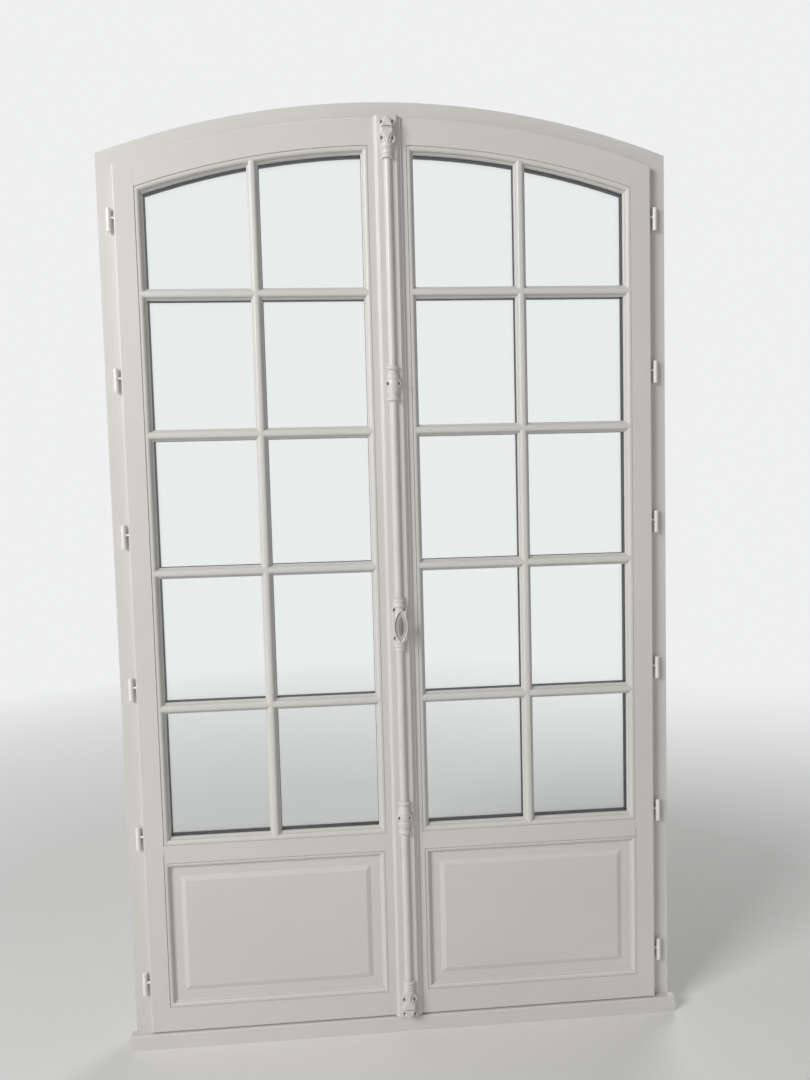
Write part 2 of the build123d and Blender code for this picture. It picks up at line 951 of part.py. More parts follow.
def arched_head(jambs, mortises):
    """The curved frame member, coped over the jambs."""
    face = closed_face([
        (frame_front, frame_height),
        (frame_back, frame_height),
        (frame_back, frame_height - frame_stop_inset),
        (stop_front, frame_height - frame_stop_inset),
        (stop_front, frame_height - frame_rebate_inset),
        (frame_front, frame_height - frame_rebate_inset),
    ])
    span = block(-frame_rebate_edge, frame_rebate_edge, frame_front, frame_back, 0, beyond)
    return (arched_prism(face) & span) - jambs - mortises


def sill_rail(jambs, mortises):
    """The bottom of the frame: a rebate, a stop, and a weathered nose with a drip groove."""
    nose_back = frame_back + sill_nose_length
    face = closed_face([
        (frame_front, 0),
        (nose_back, 0),
        (nose_back, sill_nose_height),
        (frame_back, sill_nose_height + sill_nose_rise),
        (frame_back, sill_stop_height),
        (stop_front, sill_stop_height),
        (stop_front, sill_rebate_height),
        (frame_front, sill_rebate_height),
    ])
    groove = Pos(nose_back - drip_groove_setback, 0) * Circle(drip_groove_radius)
    return rail_prism(face - groove, -half_width, half_width) - jambs - mortises


def sill_board():
    """The painted board along the foot of the doors, on the room side."""
    round_off = sill_board_round * (1 - sqrt(0.5))
    front = -sill_board_proud
    face = closed_face([
        (front, 0),
        (frame_front, 0),
        (frame_front, sill_board_height),
        (front + sill_board_round, sill_board_height),
        Bend(
            (front + round_off, sill_board_height - round_off),
            (front, sill_board_height - sill_board_round),
        ),
    ])
    reach = half_width + sill_board_overhang
    return rail_prism(face, -reach, reach)


def weather_seal():
    """Rubber strips on the stop, all round the opening."""
    front = leaf_thickness + leaf_to_seal_gap
    inner = frame_stop_edge
    outer = inner + frame_seal_width
    head_inset = frame_stop_inset - frame_seal_width
    foot = sill_stop_height
    ring = arched_face(-outer, outer, foot - frame_seal_width, head_inset)
    ring -= arched_face(-inner, inner, foot, frame_stop_inset)
    return upright(ring, front, stop_front)


# Keeps for the bolts, let into the head and the sill

def keep_span():
    middle = (bolt_centre + flush_bolt_centre) / 2
    return middle - keep_half_length, middle + keep_half_length


def bolt_hole(centre, margin, bottom, top):
    half = bolt_side / 2 + margin
    return block(
        centre - half, centre + half, bolt_depth_centre - half, bolt_depth_centre + half, bottom, top
    )


def keep_plate(bottom):
    left, right = keep_span()
    front = bolt_depth_centre - keep_width / 2
    plate = block(left, right, front, front + keep_width, bottom, bottom + keep_thickness)
    for centre in (bolt_centre, flush_bolt_centre):
        plate -= bolt_hole(centre, keep_hole_clearance, bottom, bottom + keep_thickness)
    return plate


def keep_mortises(plate_bottom, direction):
    """The recess for a keep plate and the mortise that each bolt enters behind it."""
    left, right = keep_span()
    front = bolt_depth_centre - keep_width / 2
    if direction > 0:
        recess = (plate_bottom - keep_thickness, plate_bottom + keep_thickness)
        mortise = (plate_bottom, plate_bottom + keep_mortise_depth)
    else:
        recess = (plate_bottom, plate_bottom + 2 * keep_thickness)
        mortise = (plate_bottom - keep_mortise_depth, plate_bottom + keep_thickness)
    cutters = [block(left, right, front, front + keep_width, *recess)]
    for centre in (bolt_centre, flush_bolt_centre):
        cutters.append(bolt_hole(centre, keep_hole_clearance, *mortise))
    return cutters


head_keep_bottom = arch_height(active_front_edge, frame_rebate_inset) - keep_proud
sill_keep_bottom = sill_rebate_height - keep_thickness + keep_proud


# Concealed lock in the active leaf's meeting edge

body_top = arch_height(passive_edge, body_inset)
upper_bolt_top = body_top - bolt_setback
lower_bolt_bottom = body_bottom + bolt_setback


def edge_plate():
    half = edge_plate_width / 2
    return block(
        active_front_edge,
        active_front_edge + edge_plate_thickness,
        bolt_depth_centre - half,
        bolt_depth_centre + half,
        body_bottom,
        body_top - edge_plate_end_gap,
    )


def bolt_channel():
    """The groove behind the edge plate in which both bolts slide."""
    half = bolt_side / 2 + bolt_clearance
    left = active_front_edge + edge_plate_thickness
    return block(
        left, bolt_centre + half, bolt_depth_centre - half, bolt_depth_centre + half, 0, beyond
    )


def case_space(wall):
    """The lock case's outline, drawn in by the given wall."""
    half_depth = lock_case_depth / 2
    return block(
        active_front_edge + edge_plate_thickness + wall,
        lock_case_right - wall,
        bolt_depth_centre - half_depth + wall,
        bolt_depth_centre + half_depth - wall,
        handle_height - lock_case_half_height + wall,
        handle_height + lock_case_half_height - wall,
    )


def lock_case():
    shell = case_space(0) - case_space(lock_case_wall) - bolt_channel()
    return shell - spindle_hole(-far, bolt_depth_centre)


def spindle_hole(front, back):
    hole = Rot(-90, 0, 0) * Cylinder(spindle_hole_radius, back - front, align=on_its_end)
    return Pos(0, front, handle_height) * hole


def bolt_bar(bottom, top):
    half = bolt_side / 2
    left = bolt_centre - half
    front = bolt_depth_centre - half
    return block(left, left + bolt_side, front, front + bolt_side, bottom, top)


def rack(side, arm_bottom, arm_top, rack_bottom, rack_top):
    """A toothed bar beside the pinion and the arm that joins it to its bolt.

    Side is -1 left of the pinion, where the rack rises, and 1 right of it, where it sinks.
    """
    half = pinion_thickness / 2
    front, back = bolt_depth_centre - half, bolt_depth_centre + half
    edges = sorted((side * rack_root, side * (rack_root + rack_back_thickness)))
    bar = block(*edges, front, back, rack_bottom, rack_top)
    arm = block(bolt_centre, edges[1], front, back, arm_bottom, arm_top)
    tooth = rack_tooth(side)
    count = round(bolt_travel / tooth_pitch) + rack_spare_teeth
    teeth = []
    for place in range(count):
        height = handle_height + side * (place - rack_first_tooth) * tooth_pitch
        teeth.append(Pos(0, 0, height) * tooth)
    return bar + arm + teeth


def rack_tooth(side):
    """One straight-flanked tooth at height 0, pointing at the pinion."""
    slope = tan(radians(pressure_angle))
    half_at_pitch = (tooth_pitch / 2 - tooth_backlash) / 2
    half_at_root = half_at_pitch + (rack_root - pinion_radius) * slope
    half_at_tip = half_at_pitch - rack_addendum * slope
    face = closed_face([
        (side * rack_root, -half_at_root),
        (side * rack_tip, -half_at_tip),
        (side * rack_tip, half_at_tip),
        (side * rack_root, half_at_root),
    ])
    half = pinion_thickness / 2
    return upright(face, bolt_depth_centre - half, bolt_depth_centre + half)


def upper_bolt():
    arm_bottom = handle_height + pinion_radius + bolt_travel / 2
    arm_top = arm_bottom + bolt_side
    bar = bolt_bar(arm_bottom, upper_bolt_top)
    return bar + rack(-1, arm_bottom, arm_top, handle_height - bolt_travel - pinion_radius, arm_top)


def lower_bolt():
    arm_top = handle_height - pinion_radius - bolt_travel - bolt_side
    arm_bottom = arm_top - bolt_side
    bar = bolt_bar(lower_bolt_bottom, arm_top)
    return bar + rack(1, arm_bottom, arm_top, arm_bottom, handle_height + bolt_travel + pinion_radius)


def pinion_tooth():
    """One tooth of the pinion, pointing along X, with its flanks as arcs near the involute."""
    base_radius = pinion_radius * cos(radians(pressure_angle))
    tip_radius = pinion_radius + pinion_addendum
    root_radius = rack_tip - tooth_root_gap
    half_at_pitch = (tooth_pitch / 2 - tooth_backlash) / (2 * pinion_radius)

    def involute(radius):
        angle = acos(base_radius / radius)
        return tan(angle) - angle

    def flank(radius, side):
        angle = side * (half_at_pitch + involute(pinion_radius) - involute(radius))
        return (radius * cos(angle), radius * sin(angle))

    def foot(side):
        across = flank(base_radius, side)
        return (across[0] - (base_radius - root_radius) - cut_past, across[1])

    return closed_face([
        foot(-1),
        flank(base_radius, -1),
        Bend(flank(pinion_radius, -1), flank(tip_radius, -1)),
        Bend((tip_radius, 0), flank(tip_radius, 1)),
        Bend(flank(pinion_radius, 1), flank(base_radius, 1)),
        foot(1),
    ])


def pinion():
    root_radius = rack_tip - tooth_root_gap
    tooth = pinion_tooth()
    outline = Circle(root_radius)
    for place in range(pinion_teeth):
        outline += Rot(0, 0, 360 / pinion_teeth * place) * tooth
    outline -= Rectangle(spindle_side, spindle_side)
    half = pinion_thickness / 2
    wheel = upright(outline, bolt_depth_centre - half, bolt_depth_centre + half)
    return Pos(0, 0, handle_height) * wheel


# Flush bolts in the passive leaf's meeting edge, drawn in their real places

def flush_channels():
    half = bolt_side / 2 + bolt_clearance
    plate_half = edge_plate_width / 2
    cutters = [
        block(
            flush_bolt_centre - half,
            passive_edge,
            bolt_depth_centre - half,
            bolt_depth_centre + half,
            *span,
        )
        for span in (flush_span(1), flush_span(-1))
    ]
    for bottom, top in (flush_plate_span(1), flush_plate_span(-1)):
        cutters.append(block(
            passive_edge - flush_plate_thickness,
            passive_edge,
            bolt_depth_centre - plate_half,
            bolt_depth_centre + plate_half,
            bottom,
            top,
        ))
    return cutters


def flush_span(direction):
    reach = flush_bolt_length + bolt_setback + bolt_travel
    if direction > 0:
        return body_top - reach, beyond
    return 0, body_bottom + reach


def flush_plate_span(direction):
    if direction > 0:
        return body_top - flush_plate_length, body_top - edge_plate_end_gap
    return body_bottom + edge_plate_end_gap, body_bottom + flush_plate_length


def flush_lug_centre(direction):
    if direction > 0:
        return body_top - flush_bolt_length / 2 - bolt_setback
    return body_bottom + flush_bolt_length / 2 + bolt_setback


def flush_bolt(direction):
    """A sliding bar with a finger lug that comes through a slot in the edge plate."""
    half = bolt_side / 2
    if direction > 0:
        bottom, top = upper_bolt_top - flush_bolt_length, upper_bolt_top
    else:
        bottom, top = lower_bolt_bottom, lower_bolt_bottom + flush_bolt_length
    bar = block(
        flush_bolt_centre - half,
        flush_bolt_centre + half,
        bolt_depth_centre - half,
        bolt_depth_centre + half,
        bottom,
        top,
    )
    lug_middle = flush_lug_centre(direction)
    lug = block(
        flush_bolt_centre,
        passive_edge + flush_lug_rise,
        bolt_depth_centre - bolt_side / 4,
        bolt_depth_centre + bolt_side / 4,
        lug_middle - flush_lug_height / 2,
        lug_middle + flush_lug_height / 2,
    )
    return bar + lug


def flush_plate(direction):
    bottom, top = flush_plate_span(direction)
    half = edge_plate_width / 2
    plate = block(
        passive_edge - flush_plate_thickness,
        passive_edge,
        bolt_depth_centre - half,
        bolt_depth_centre + half,
        bottom,
        top,
    )
    middle = flush_lug_centre(direction)
    slot_half = flush_lug_height / 2 + flush_slot_margin
    reach_up = bolt_travel if direction > 0 else 0
    reach_down = 0 if direction > 0 else bolt_travel
    slot = block(
        passive_edge - flush_plate_thickness,
        passive_edge,
        bolt_depth_centre - bolt_side / 4 - bolt_clearance,
        bolt_depth_centre + bolt_side / 4 + bolt_clearance,
        middle - slot_half - reach_down,
        middle + slot_half + reach_up,
    )
    return plate - slot


# Cover strip and the surface bolt trim

def cover_strip():
    """The strip over the meeting joint, with an ogee along both edges."""
    ogee_top = -cover_thickness + cover_step
    land = cover_half_width - cover_edge_land
    middle = ((cover_flat_half + land) / 2, (ogee_top - cover_edge) / 2)
    swell = cover_ogee_swell
    upper = ((cover_flat_half + middle[0]) / 2 + swell, (ogee_top + middle[1]) / 2 - swell)
    lower = ((land + middle[0]) / 2 - swell, (middle[1] - cover_edge) / 2 + swell)
    right_side = [
        (cover_flat_half, -cover_thickness),
        (cover_flat_half, ogee_top),
        Bend(upper, middle),
        Bend(lower, (land, -cover_edge)),
        (cover_half_width, -cover_edge),
    ]
    right_half = closed_face([(0, 0), (0, -cover_thickness)] + right_side + [(cover_half_width, 0)])
    face = right_half + mirror(right_half, about=Plane.YZ)
    face -= closed_face([
        (-far, -cover_seal_gap), (active_front_edge, -cover_seal_gap), (active_front_edge, 0), (-far, 0)
    ])
    outline = arched_face(-far, far, lip_bottom, visible_frame_face)
    return column(face, 0, beyond) & upright(outline, -far, far)


def half_round(bottom, top, radius):
    whole = Circle(radius)
    front = Pos(0, -radius) * Rectangle(2 * radius, 2 * radius)
    return Pos(0, cover_face, 0) * column(whole & front, bottom, top)


def standing_out(radius, reach):
    """A cylinder that stands out from the cover strip towards the room, at height 0."""
    return Pos(0, cover_face, 0) * Rot(90, 0, 0) * Cylinder(radius, reach, align=on_its_end)


def surface_plate(path, height, thickness):
    """A plate on the cover strip; its path is across and up from its foot, drawn for both sides."""
    right = closed_face(path)
    face = right + mirror(right, about=Plane.YZ)
    return Pos(0, 0, height) * upright(face, cover_face - thickness, cover_face)


def bevelled(plate, bevel):
    """The same plate with a bevel round its front face."""
    front = plate.faces().sort_by(Axis.Y)[0]
    return chamfer(front.outer_wire().edges(), bevel)


def rib(foot, tip, radius, depth):
    """A round-ended roll between two points of the door's plane, half sunk at the depth."""
    start = Vector(foot[0], depth, foot[1])
    end = Vector(tip[0], depth, tip[1])
    run = end - start
    roll = Plane(origin=start, z_dir=run) * Cylinder(radius, run.length, align=on_its_end)
    ends = [Pos(*point) * Sphere(radius) for point in (start, end)]
    return roll + ends


# Turned rings, each listed from the rod end as height, foot radius, waist radius and top radius
cap_rings = [
    Ring(6.5, 12.0, 14.8, 12.0),
    Ring(3.5, 12.0, 11.6, 12.0),
    Ring(2.5, 12.4, 13.4, 12.4),
    Ring(6.5, 12.4, 12.9, 12.6),
    Ring(2.5, 12.9, 13.9, 12.9),
    Ring(3.0, 12.8, 12.5, 13.0),
    Ring(3.0, 13.6, 14.6, 13.8),
    Ring(5.5, 14.0, 14.5, 14.6),
]
guide_rings = [
    Ring(10.0, 11.5, 14.9, 11.5),
    Ring(6.0, 11.2, 10.7, 11.4),
    Ring(3.6, 12.0, 12.8, 12.2),
    Ring(3.6, 12.7, 13.5, 12.9),
    Ring(3.6, 13.4, 14.2, 13.6),
    Ring(5.0, 14.4, 14.8, 14.0),
]
handle_rings = [
    Ring(8.0, 13.6, 12.0, 12.4),
    Ring(2.5, 13.2, 13.9, 13.2),
    Ring(9.0, 12.4, 12.9, 14.4),
    Ring(3.0, 14.8, 15.2, 14.8),
]


def ring_outline(rings):
    """The outline of a turned stack of rings, each one a curve from its foot to its top."""
    path = [(0, 0)]
    foot = 0
    for ring in rings:
        path.append((ring.foot, foot))
        path.append(Bend((ring.waist, foot + ring.height / 2), (ring.top, foot + ring.height)))
        foot += ring.height
    return path + [(0, foot)]


def stack_height(rings):
    return sum(ring.height for ring in rings)


# Outlines of the caps' plate, leaf, block and shoulder, drawn from the rings to the free end
cap_plate_height = 61.0
cap_plate_path = [
    (0, 0),
    (14.0, 0),
    Bend((19.0, 9.5), (16.8, 19.5)),
    Bend((16.0, 31.0), (16.8, 42.5)),
    Bend((19.0, 50.0), (13.5, 56.0)),
    Bend((9.0, 56.2), (5.5, 59.0)),
    Bend((3.0, 60.6), (0, cap_plate_height)),
]
cap_leaf_path = [
    (0, 0.5),
    (7.2, 0.5),
    Bend((8.6, 13.0), (14.3, 28.0)),
    (14.3, 40.5),
    (6.7, 57.0),
    (0, 58.8),
]
cap_block_path = [
    (0, 1.5),
    (3.2, 1.5),
    Bend((5.6, 14.5), (cap_block_half_width, 24.5)),
    (cap_block_half_width, 41.0),
    (5.2, 56.0),
    Bend((3.0, 58.6), (0, 59.4)),
]
cap_shoulder_path = [
    (0, 0),
    (13.8, 0),
    Bend((12.8, 3.0), (8.8, 5.0)),
    (0, 5.0),
]
cap_rib_ends = ((8.8, 42.2), (3.0, 53.3))
eyelet_seat = cover_face - trim_plate_thickness + eyelet_depth
cap_foot = stack_height(cap_rings)
cap_height = cap_foot + cap_plate_height
top_cap_bottom = leaf_crown - top_cap_clearance - cap_height
bottom_cap_bottom = lip_bottom + bottom_cap_clearance


def cap():
    """A rod-end cap, drawn with its collar at height 0 and its ornament above."""
    collar = turned(ring_outline(cap_rings), 0)
    shoulder = turned(cap_shoulder_path, cap_foot)
    plate = surface_plate(cap_plate_path, cap_foot, trim_plate_thickness)
    leaf = surface_plate(cap_leaf_path, cap_foot, trim_plate_thickness + cap_leaf_rise)
    block_proud = trim_plate_thickness + cap_block_rise
    ornament = surface_plate(cap_block_path, cap_foot, block_proud)
    body = collar + shoulder + plate
    body += bevelled(leaf, trim_bevel)
    body += bevelled(ornament, cap_block_bevel)
    return body + cap_relief(cover_face - block_proud) - cap_slot(cover_face - block_proud)


def cap_relief(depth):
    """The ledge across the block beside its slot, and the two ribs that run to its free end."""
    half_length = cap_block_half_width - cap_slot_end_land
    ledge_height = cap_foot + cap_slot_place - cap_slot_height / 2 - cap_ledge_radius
    ledge = Pos(0, depth, ledge_height) * Rot(0, 90, 0) * Cylinder(cap_ledge_radius, 2 * half_length)
    ribs = []
    for side in (-1, 1):
        foot, tip = [(side * across, cap_foot + up) for across, up in cap_rib_ends]
        ribs.append(rib(foot, tip, cap_rib_radius, depth))
    return ledge + ribs


def cap_slot(depth):
    half_length = cap_block_half_width - cap_slot_end_land
    middle = cap_foot + cap_slot_place
    return block(
        -half_length,
        half_length,
        depth - cut_past,
        depth + cap_slot_depth,
        middle - cap_slot_height / 2,
        middle + cap_slot_height / 2,
    )


def screw(across, height):
    """A dome-headed screw, seated at the bottom of its eyelet."""
    head = Cylinder(screw_head_radius, screw_head_rise, align=on_its_end)
    head = fillet(head.edges().sort_by(Axis.Z)[-1], screw_head_round)
    shank = Pos(0, 0, -screw_length) * Cylinder(screw_shank_radius, screw_length, align=on_its_end)
    return Pos(across, eyelet_seat, height) * Rot(90, 0, 0) * (head + shank)


def screw_places():
    """Across and height of every screw that holds the surface trim."""
    places = []
    for side in (-1, 1):
        for above_foot in cap_screw_heights:
            height = cap_foot + above_foot
            places.append((side * cap_screw_across, top_cap_bottom + height))
            places.append((side * cap_screw_across, bottom_cap_bottom + cap_height - height))
        for centre in (upper_guide_centre, lower_guide_centre):
            places.append((side * guide_screw_across, centre))
        for end in (-1, 1):
            places.append((side * handle_screw_across, handle_height + end * handle_screw_height))
    return places


def screw_holes():
    """Straight holes for the shanks, and the oval eyelets that seat the heads."""
    cutters = []
    for across, height in screw_places():
        shank = Pos(0, 0, -screw_length) * Cylinder(
            screw_shank_radius + screwed_fit, screw_length + cut_past, align=on_its_end
        )
        eyelet = extrude(Ellipse(eyelet_half_width, eyelet_half_height), amount=far)
        cutters.append(Pos(across, eyelet_seat, height) * Rot(90, 0, 0) * (shank + eyelet))
    return cutters


def rod_guide(centre):
    """A turned saddle over the rod, with a screwed ear on each side of its middle."""
    half = guide_height / 2
    upper = Pos(0, 0, half) * mirror(turned(ring_outline(guide_rings), 0), about=Plane.XY)
    lower = mirror(upper, about=Plane.XY)
    barrel_half = half - stack_height(guide_rings)
    barrel = turned([
        (0, -barrel_half),
        (guide_barrel_radius, -barrel_half),
        Bend((guide_barrel_radius + guide_barrel_bulge, 0), (guide_barrel_radius, barrel_half)),
        (0, barrel_half),
    ], 0)
    ear_path = [
        (0, -guide_ear_half_height),
        (guide_screw_across, -guide_ear_half_height),
        Bend((guide_ear_shoulder_across, -guide_ear_shoulder_height), (guide_ear_half_width, 0)),
        Bend((guide_ear_shoulder_across, guide_ear_shoulder_height),
             (guide_screw_across, guide_ear_half_height)),
        (0, guide_ear_half_height),
    ]
    ears = bevelled(surface_plate(ear_path, 0, trim_plate_thickness), trim_bevel)
    channel = half_round(-half, half, rod_radius + rod_fit)
    return Pos(0, 0, centre) * (upper + lower + barrel + ears - channel)


def handle_box():
    """The plate behind the knob, with a ringed collar at each end and four pointed corners."""
    half = handle_box_height / 2
    plate_half = half - stack_height(handle_rings)
    collar_top = Pos(0, 0, half) * mirror(turned(ring_outline(handle_rings), 0), about=Plane.XY)
    collar_bottom = mirror(collar_top, about=Plane.XY)
    corner = plate_half - handle_corner_drop
    plate_path = [
        (0, -plate_half),
        (handle_end_half_width, -plate_half),
        (handle_corner_half_width, -corner),
        Bend((handle_waist_half_width, 0), (handle_corner_half_width, corner)),
        (handle_end_half_width, plate_half),
        (0, plate_half),
    ]
    plate = bevelled(surface_plate(plate_path, 0, trim_plate_thickness), trim_bevel)
    dome = turned([
        (0, -plate_half),
        (handle_dome_end_radius, -plate_half),
        Bend((handle_dome_radius, 0), (handle_dome_end_radius, plate_half)),
        (0, plate_half),
    ], 0)
    boss = standing_out(knob_neck_radius + handle_boss_margin, handle_dome_radius + handle_boss_rise)
    bore = standing_out(knob_neck_radius + knob_neck_clearance, far)
    body = collar_top + collar_bottom + plate + dome + boss - bore
    return Pos(0, 0, handle_height) * body


def knob_outline(inset):
    """The knob's pointed oval, drawn in by the inset all round."""
    arc_radius = (knob_half_height ** 2 + knob_half_width ** 2) / (2 * knob_half_width)
    half_across = knob_half_width - inset
    half_up = sqrt((arc_radius - inset) ** 2 - (arc_radius - knob_half_width) ** 2)
    return closed_face([
        (0, -half_up),
        Bend((half_across, 0), (0, half_up)),
        Bend((-half_across, 0), (0, -half_up)),
    ])


def knob_slice(front, front_inset, back, back_inset):
    """A part of the knob between two depths, each with its own inset."""
    return loft([
        Plane.XZ.offset(-front) * knob_outline(front_inset),
        Plane.XZ.offset(-back) * knob_outline(back_inset),
    ])


def knob_ridge(floor):
    """A shallow slice off a long pointed turning, standing on the hollow's floor."""
    outline = [(0, -knob_half_height), Bend((knob_ridge_radius, 0), (0, knob_half_height))]
    turning = revolve(Plane.XZ * closed_face(outline), Axis.Z)
    sunk = Pos(0, floor + knob_ridge_radius - knob_ridge_rise, 0) * turning
    return sunk & block(-far, far, floor - knob_recess, floor + cut_past, -far, far)


def knob():
    """An upright oval knob with a thin rim, a hollowed face and a rounded ridge down its middle."""
    face = cover_face - knob_face_proud
    side_end = face + knob_side_height
    back = face + knob_thickness
    floor = face + knob_recess
    body = upright(knob_outline(0), face, side_end)
    body += knob_slice(side_end, 0, back, knob_back_inset)
    body -= knob_slice(face, knob_rim, floor, knob_floor_inset)
    ridge = knob_ridge(floor)
    neck = standing_out(knob_neck_radius, cover_face - back)
    half = spindle_side / 2
    square = block(-half, half, back, cover_face, -half, half)
    return Pos(0, 0, handle_height) * (body + ridge + neck - square)


def spindle():
    half = spindle_side / 2
    front = cover_face - knob_face_proud + knob_thickness
    back = bolt_depth_centre + pinion_thickness / 2 + spindle_overrun - lock_case_wall
    return Pos(0, 0, handle_height) * block(-half, half, front, back, -half, half)


# Assembly

def shared_members():
    """The members that both leaves have, drawn for the right-hand leaf."""
    envelope = leaf_envelope()
    notches = bar_notches()
    bars = bar_set(bar_half_path(), 0, glass_front, mitre_reach)
    outer_bars = bar_set(outer_bar_half_path(), glass_back, leaf_thickness, 0)
    return envelope, notches, {
        "hinge_stile": hinge_stile(envelope) - notches - leaf_stem_holes(),
        "top_rail": top_rail(envelope) - notches,
        "mid_rail": mid_rail() - notches,
        "bottom_rail": bottom_rail(envelope),
        "raised_panel": raised_panel(),
        "glazing_bars": group(bars),
        "outer_glazing_bars": group(outer_bars),
        "inner_pane": pane(glass_front),
        "outer_pane": pane(glass_back - glass_thickness),
        "spacer_grid": spacer_grid(),
        "glazing_beads": group(glazing_beads()),
        "panel_beads": group(panel_beads()),
        "leaf_knuckles": group(leaf_knuckle(height) for height in hinge_heights()),
    }


def build_nodes():
    nodes = {}
    jamb = right_jamb()
    jambs = [jamb, mirrored(jamb)]
    nodes["right_jamb"] = jamb
    nodes["left_jamb"] = jambs[1]
    nodes["arched_head"] = arched_head(jambs, keep_mortises(head_keep_bottom, 1))
    nodes["sill_rail"] = sill_rail(jambs, keep_mortises(sill_keep_bottom, -1))
    nodes["sill_board"] = sill_board()
    nodes["weather_seal"] = weather_seal()
    nodes["bolt_keeps"] = group([keep_plate(head_keep_bottom), keep_plate(sill_keep_bottom)])

    for name, make in (("frame_knuckles", frame_knuckle), ("hinge_pins", hinge_pin)):
        right_set = [make(height) for height in hinge_heights()]
        nodes[name] = group(right_set + [mirrored(shape) for shape in right_set])

    envelope, notches, shared = shared_members()
    for name, shape in shared.items():
        nodes["right_" + name] = shape
        nodes["left_" + name] = mirrored(shape)

    holes = screw_holes()
    lock_mortise = [case_space(0), bolt_channel(), edge_plate(), spindle_hole(-far, bolt_depth_centre)]
    active = meeting_stile(active_front_edge, active_rear_edge, meeting_step_depth, envelope)
    nodes["right_meeting_stile"] = active - notches - lock_mortise - holes
    passive = meeting_stile(
        -passive_edge,
        -(active_rear_edge - meeting_rear_gap),
        meeting_step_depth + meeting_step_gap,
        envelope,
    )
    nodes["left_meeting_stile"] = mirrored(passive - notches) - flush_channels()

    nodes["right_drip_rail"] = drip_rail(active_rear_edge + drip_rail_meeting_gap / 2)
    left_drip_start = meeting_rear_gap - active_rear_edge + drip_rail_meeting_gap / 2
    nodes["left_drip_rail"] = mirrored(drip_rail(left_drip_start))

    nodes["edge_plate"] = edge_plate()
    nodes["lock_case"] = lock_case()
    nodes["upper_bolt"] = upper_bolt()
    nodes["lower_bolt"] = lower_bolt()
    nodes["pinion"] = pinion()
    nodes["spindle"] = spindle()
    nodes["knob"] = knob()
    nodes["passive_upper_bolt"] = flush_bolt(1)
    nodes["passive_lower_bolt"] = flush_bolt(-1)
    nodes["passive_edge_plates"] = group([flush_plate(1), flush_plate(-1)])

    nodes["cover_strip"] = cover_strip() - holes - spindle_hole(-far, 0)
    top_cap = Pos(0, 0, top_cap_bottom) * cap()
    bottom_cap = Pos(0, 0, bottom_cap_bottom + cap_height) * mirror(cap(), about=Plane.XY)
    nodes["top_cap"] = top_cap - holes
    nodes["bottom_cap"] = bottom_cap - holes
    nodes["upper_guide"] = rod_guide(upper_guide_centre) - holes
    nodes["lower_guide"] = rod_guide(lower_guide_centre) - holes
    nodes["handle_box"] = handle_box() - holes
    handle_top = handle_height + handle_box_height / 2
    handle_bottom = handle_height - handle_box_height / 2
    nodes["upper_rod"] = half_round(handle_top, top_cap_bottom, rod_radius)
    nodes["lower_rod"] = half_round(bottom_cap_bottom + cap_height, handle_bottom, rod_radius)
    nodes["trim_screws"] = group(screw(*place) for place in screw_places())
    return nodes


os.makedirs("parts", exist_ok=True)
for name, shape in build_nodes().items():
    export_step(shape, f"parts/{name}.step")
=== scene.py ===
from collections import namedtuple
from math import cos, radians, sin

import bpy
from mathutils import Matrix, Vector


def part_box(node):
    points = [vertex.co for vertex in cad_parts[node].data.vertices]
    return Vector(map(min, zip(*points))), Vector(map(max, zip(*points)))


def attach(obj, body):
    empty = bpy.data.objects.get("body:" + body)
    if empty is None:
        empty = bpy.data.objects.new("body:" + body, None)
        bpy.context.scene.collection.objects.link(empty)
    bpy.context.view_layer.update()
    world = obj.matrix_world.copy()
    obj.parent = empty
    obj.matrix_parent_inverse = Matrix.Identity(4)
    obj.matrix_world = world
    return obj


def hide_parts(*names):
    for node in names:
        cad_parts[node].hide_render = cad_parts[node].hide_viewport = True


bl_info = {
    "name": "Arched french doors",
    "version": (1, 0, 0),
    "blender": (4, 5, 0),
    "location": "3D View > Sidebar > French doors",
    "description": "Finishes, bolt ornament and studio for a pair of arched french doors",
    "category": "Object",
}

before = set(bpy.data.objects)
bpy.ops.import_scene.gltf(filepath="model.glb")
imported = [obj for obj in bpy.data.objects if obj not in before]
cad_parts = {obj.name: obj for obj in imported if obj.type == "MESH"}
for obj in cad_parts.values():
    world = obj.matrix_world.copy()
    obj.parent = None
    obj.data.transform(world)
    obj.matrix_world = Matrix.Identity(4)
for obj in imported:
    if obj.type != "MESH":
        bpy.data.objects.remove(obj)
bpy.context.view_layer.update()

# Names of the CAD nodes by what they are made of

leaf_uprights = ["hinge_stile", "meeting_stile"]
leaf_levels = ["top_rail", "mid_rail", "bottom_rail", "raised_panel", "drip_rail"]
leaf_lattice = ["glazing_bars", "outer_glazing_bars", "glazing_beads", "panel_beads"]
sides = ("right", "left")


def on_both_leaves(names):
    return [f"{side}_{name}" for side in sides for name in names]


upright_wood = ["right_jamb", "left_jamb", "cover_strip"] + on_both_leaves(leaf_uprights)
level_wood = ["arched_head", "sill_rail", "sill_board"] + on_both_leaves(leaf_levels)
lattice_wood = on_both_leaves(leaf_lattice)
hinge_metal = ["frame_knuckles"] + on_both_leaves(["leaf_knuckles"])
bolt_trim = [
    "top_cap", "bottom_cap", "upper_guide", "lower_guide", "handle_box", "upper_rod", "lower_rod",
]
bare_steel = [
    "bolt_keeps", "hinge_pins", "edge_plate", "lock_case", "upper_bolt", "lower_bolt", "pinion",
    "spindle", "passive_upper_bolt", "passive_lower_bolt", "passive_edge_plates", "trim_screws",
]
glass_panes = on_both_leaves(["inner_pane", "outer_pane"])
spacers = on_both_leaves(["spacer_grid"])
casting_finish = "brushed_casting_enamel"
# The knob's finish has shade painted into its hollow
knob_finish = "knob_enamel_with_painted_shade"

# Colours of the bare steel and the seal

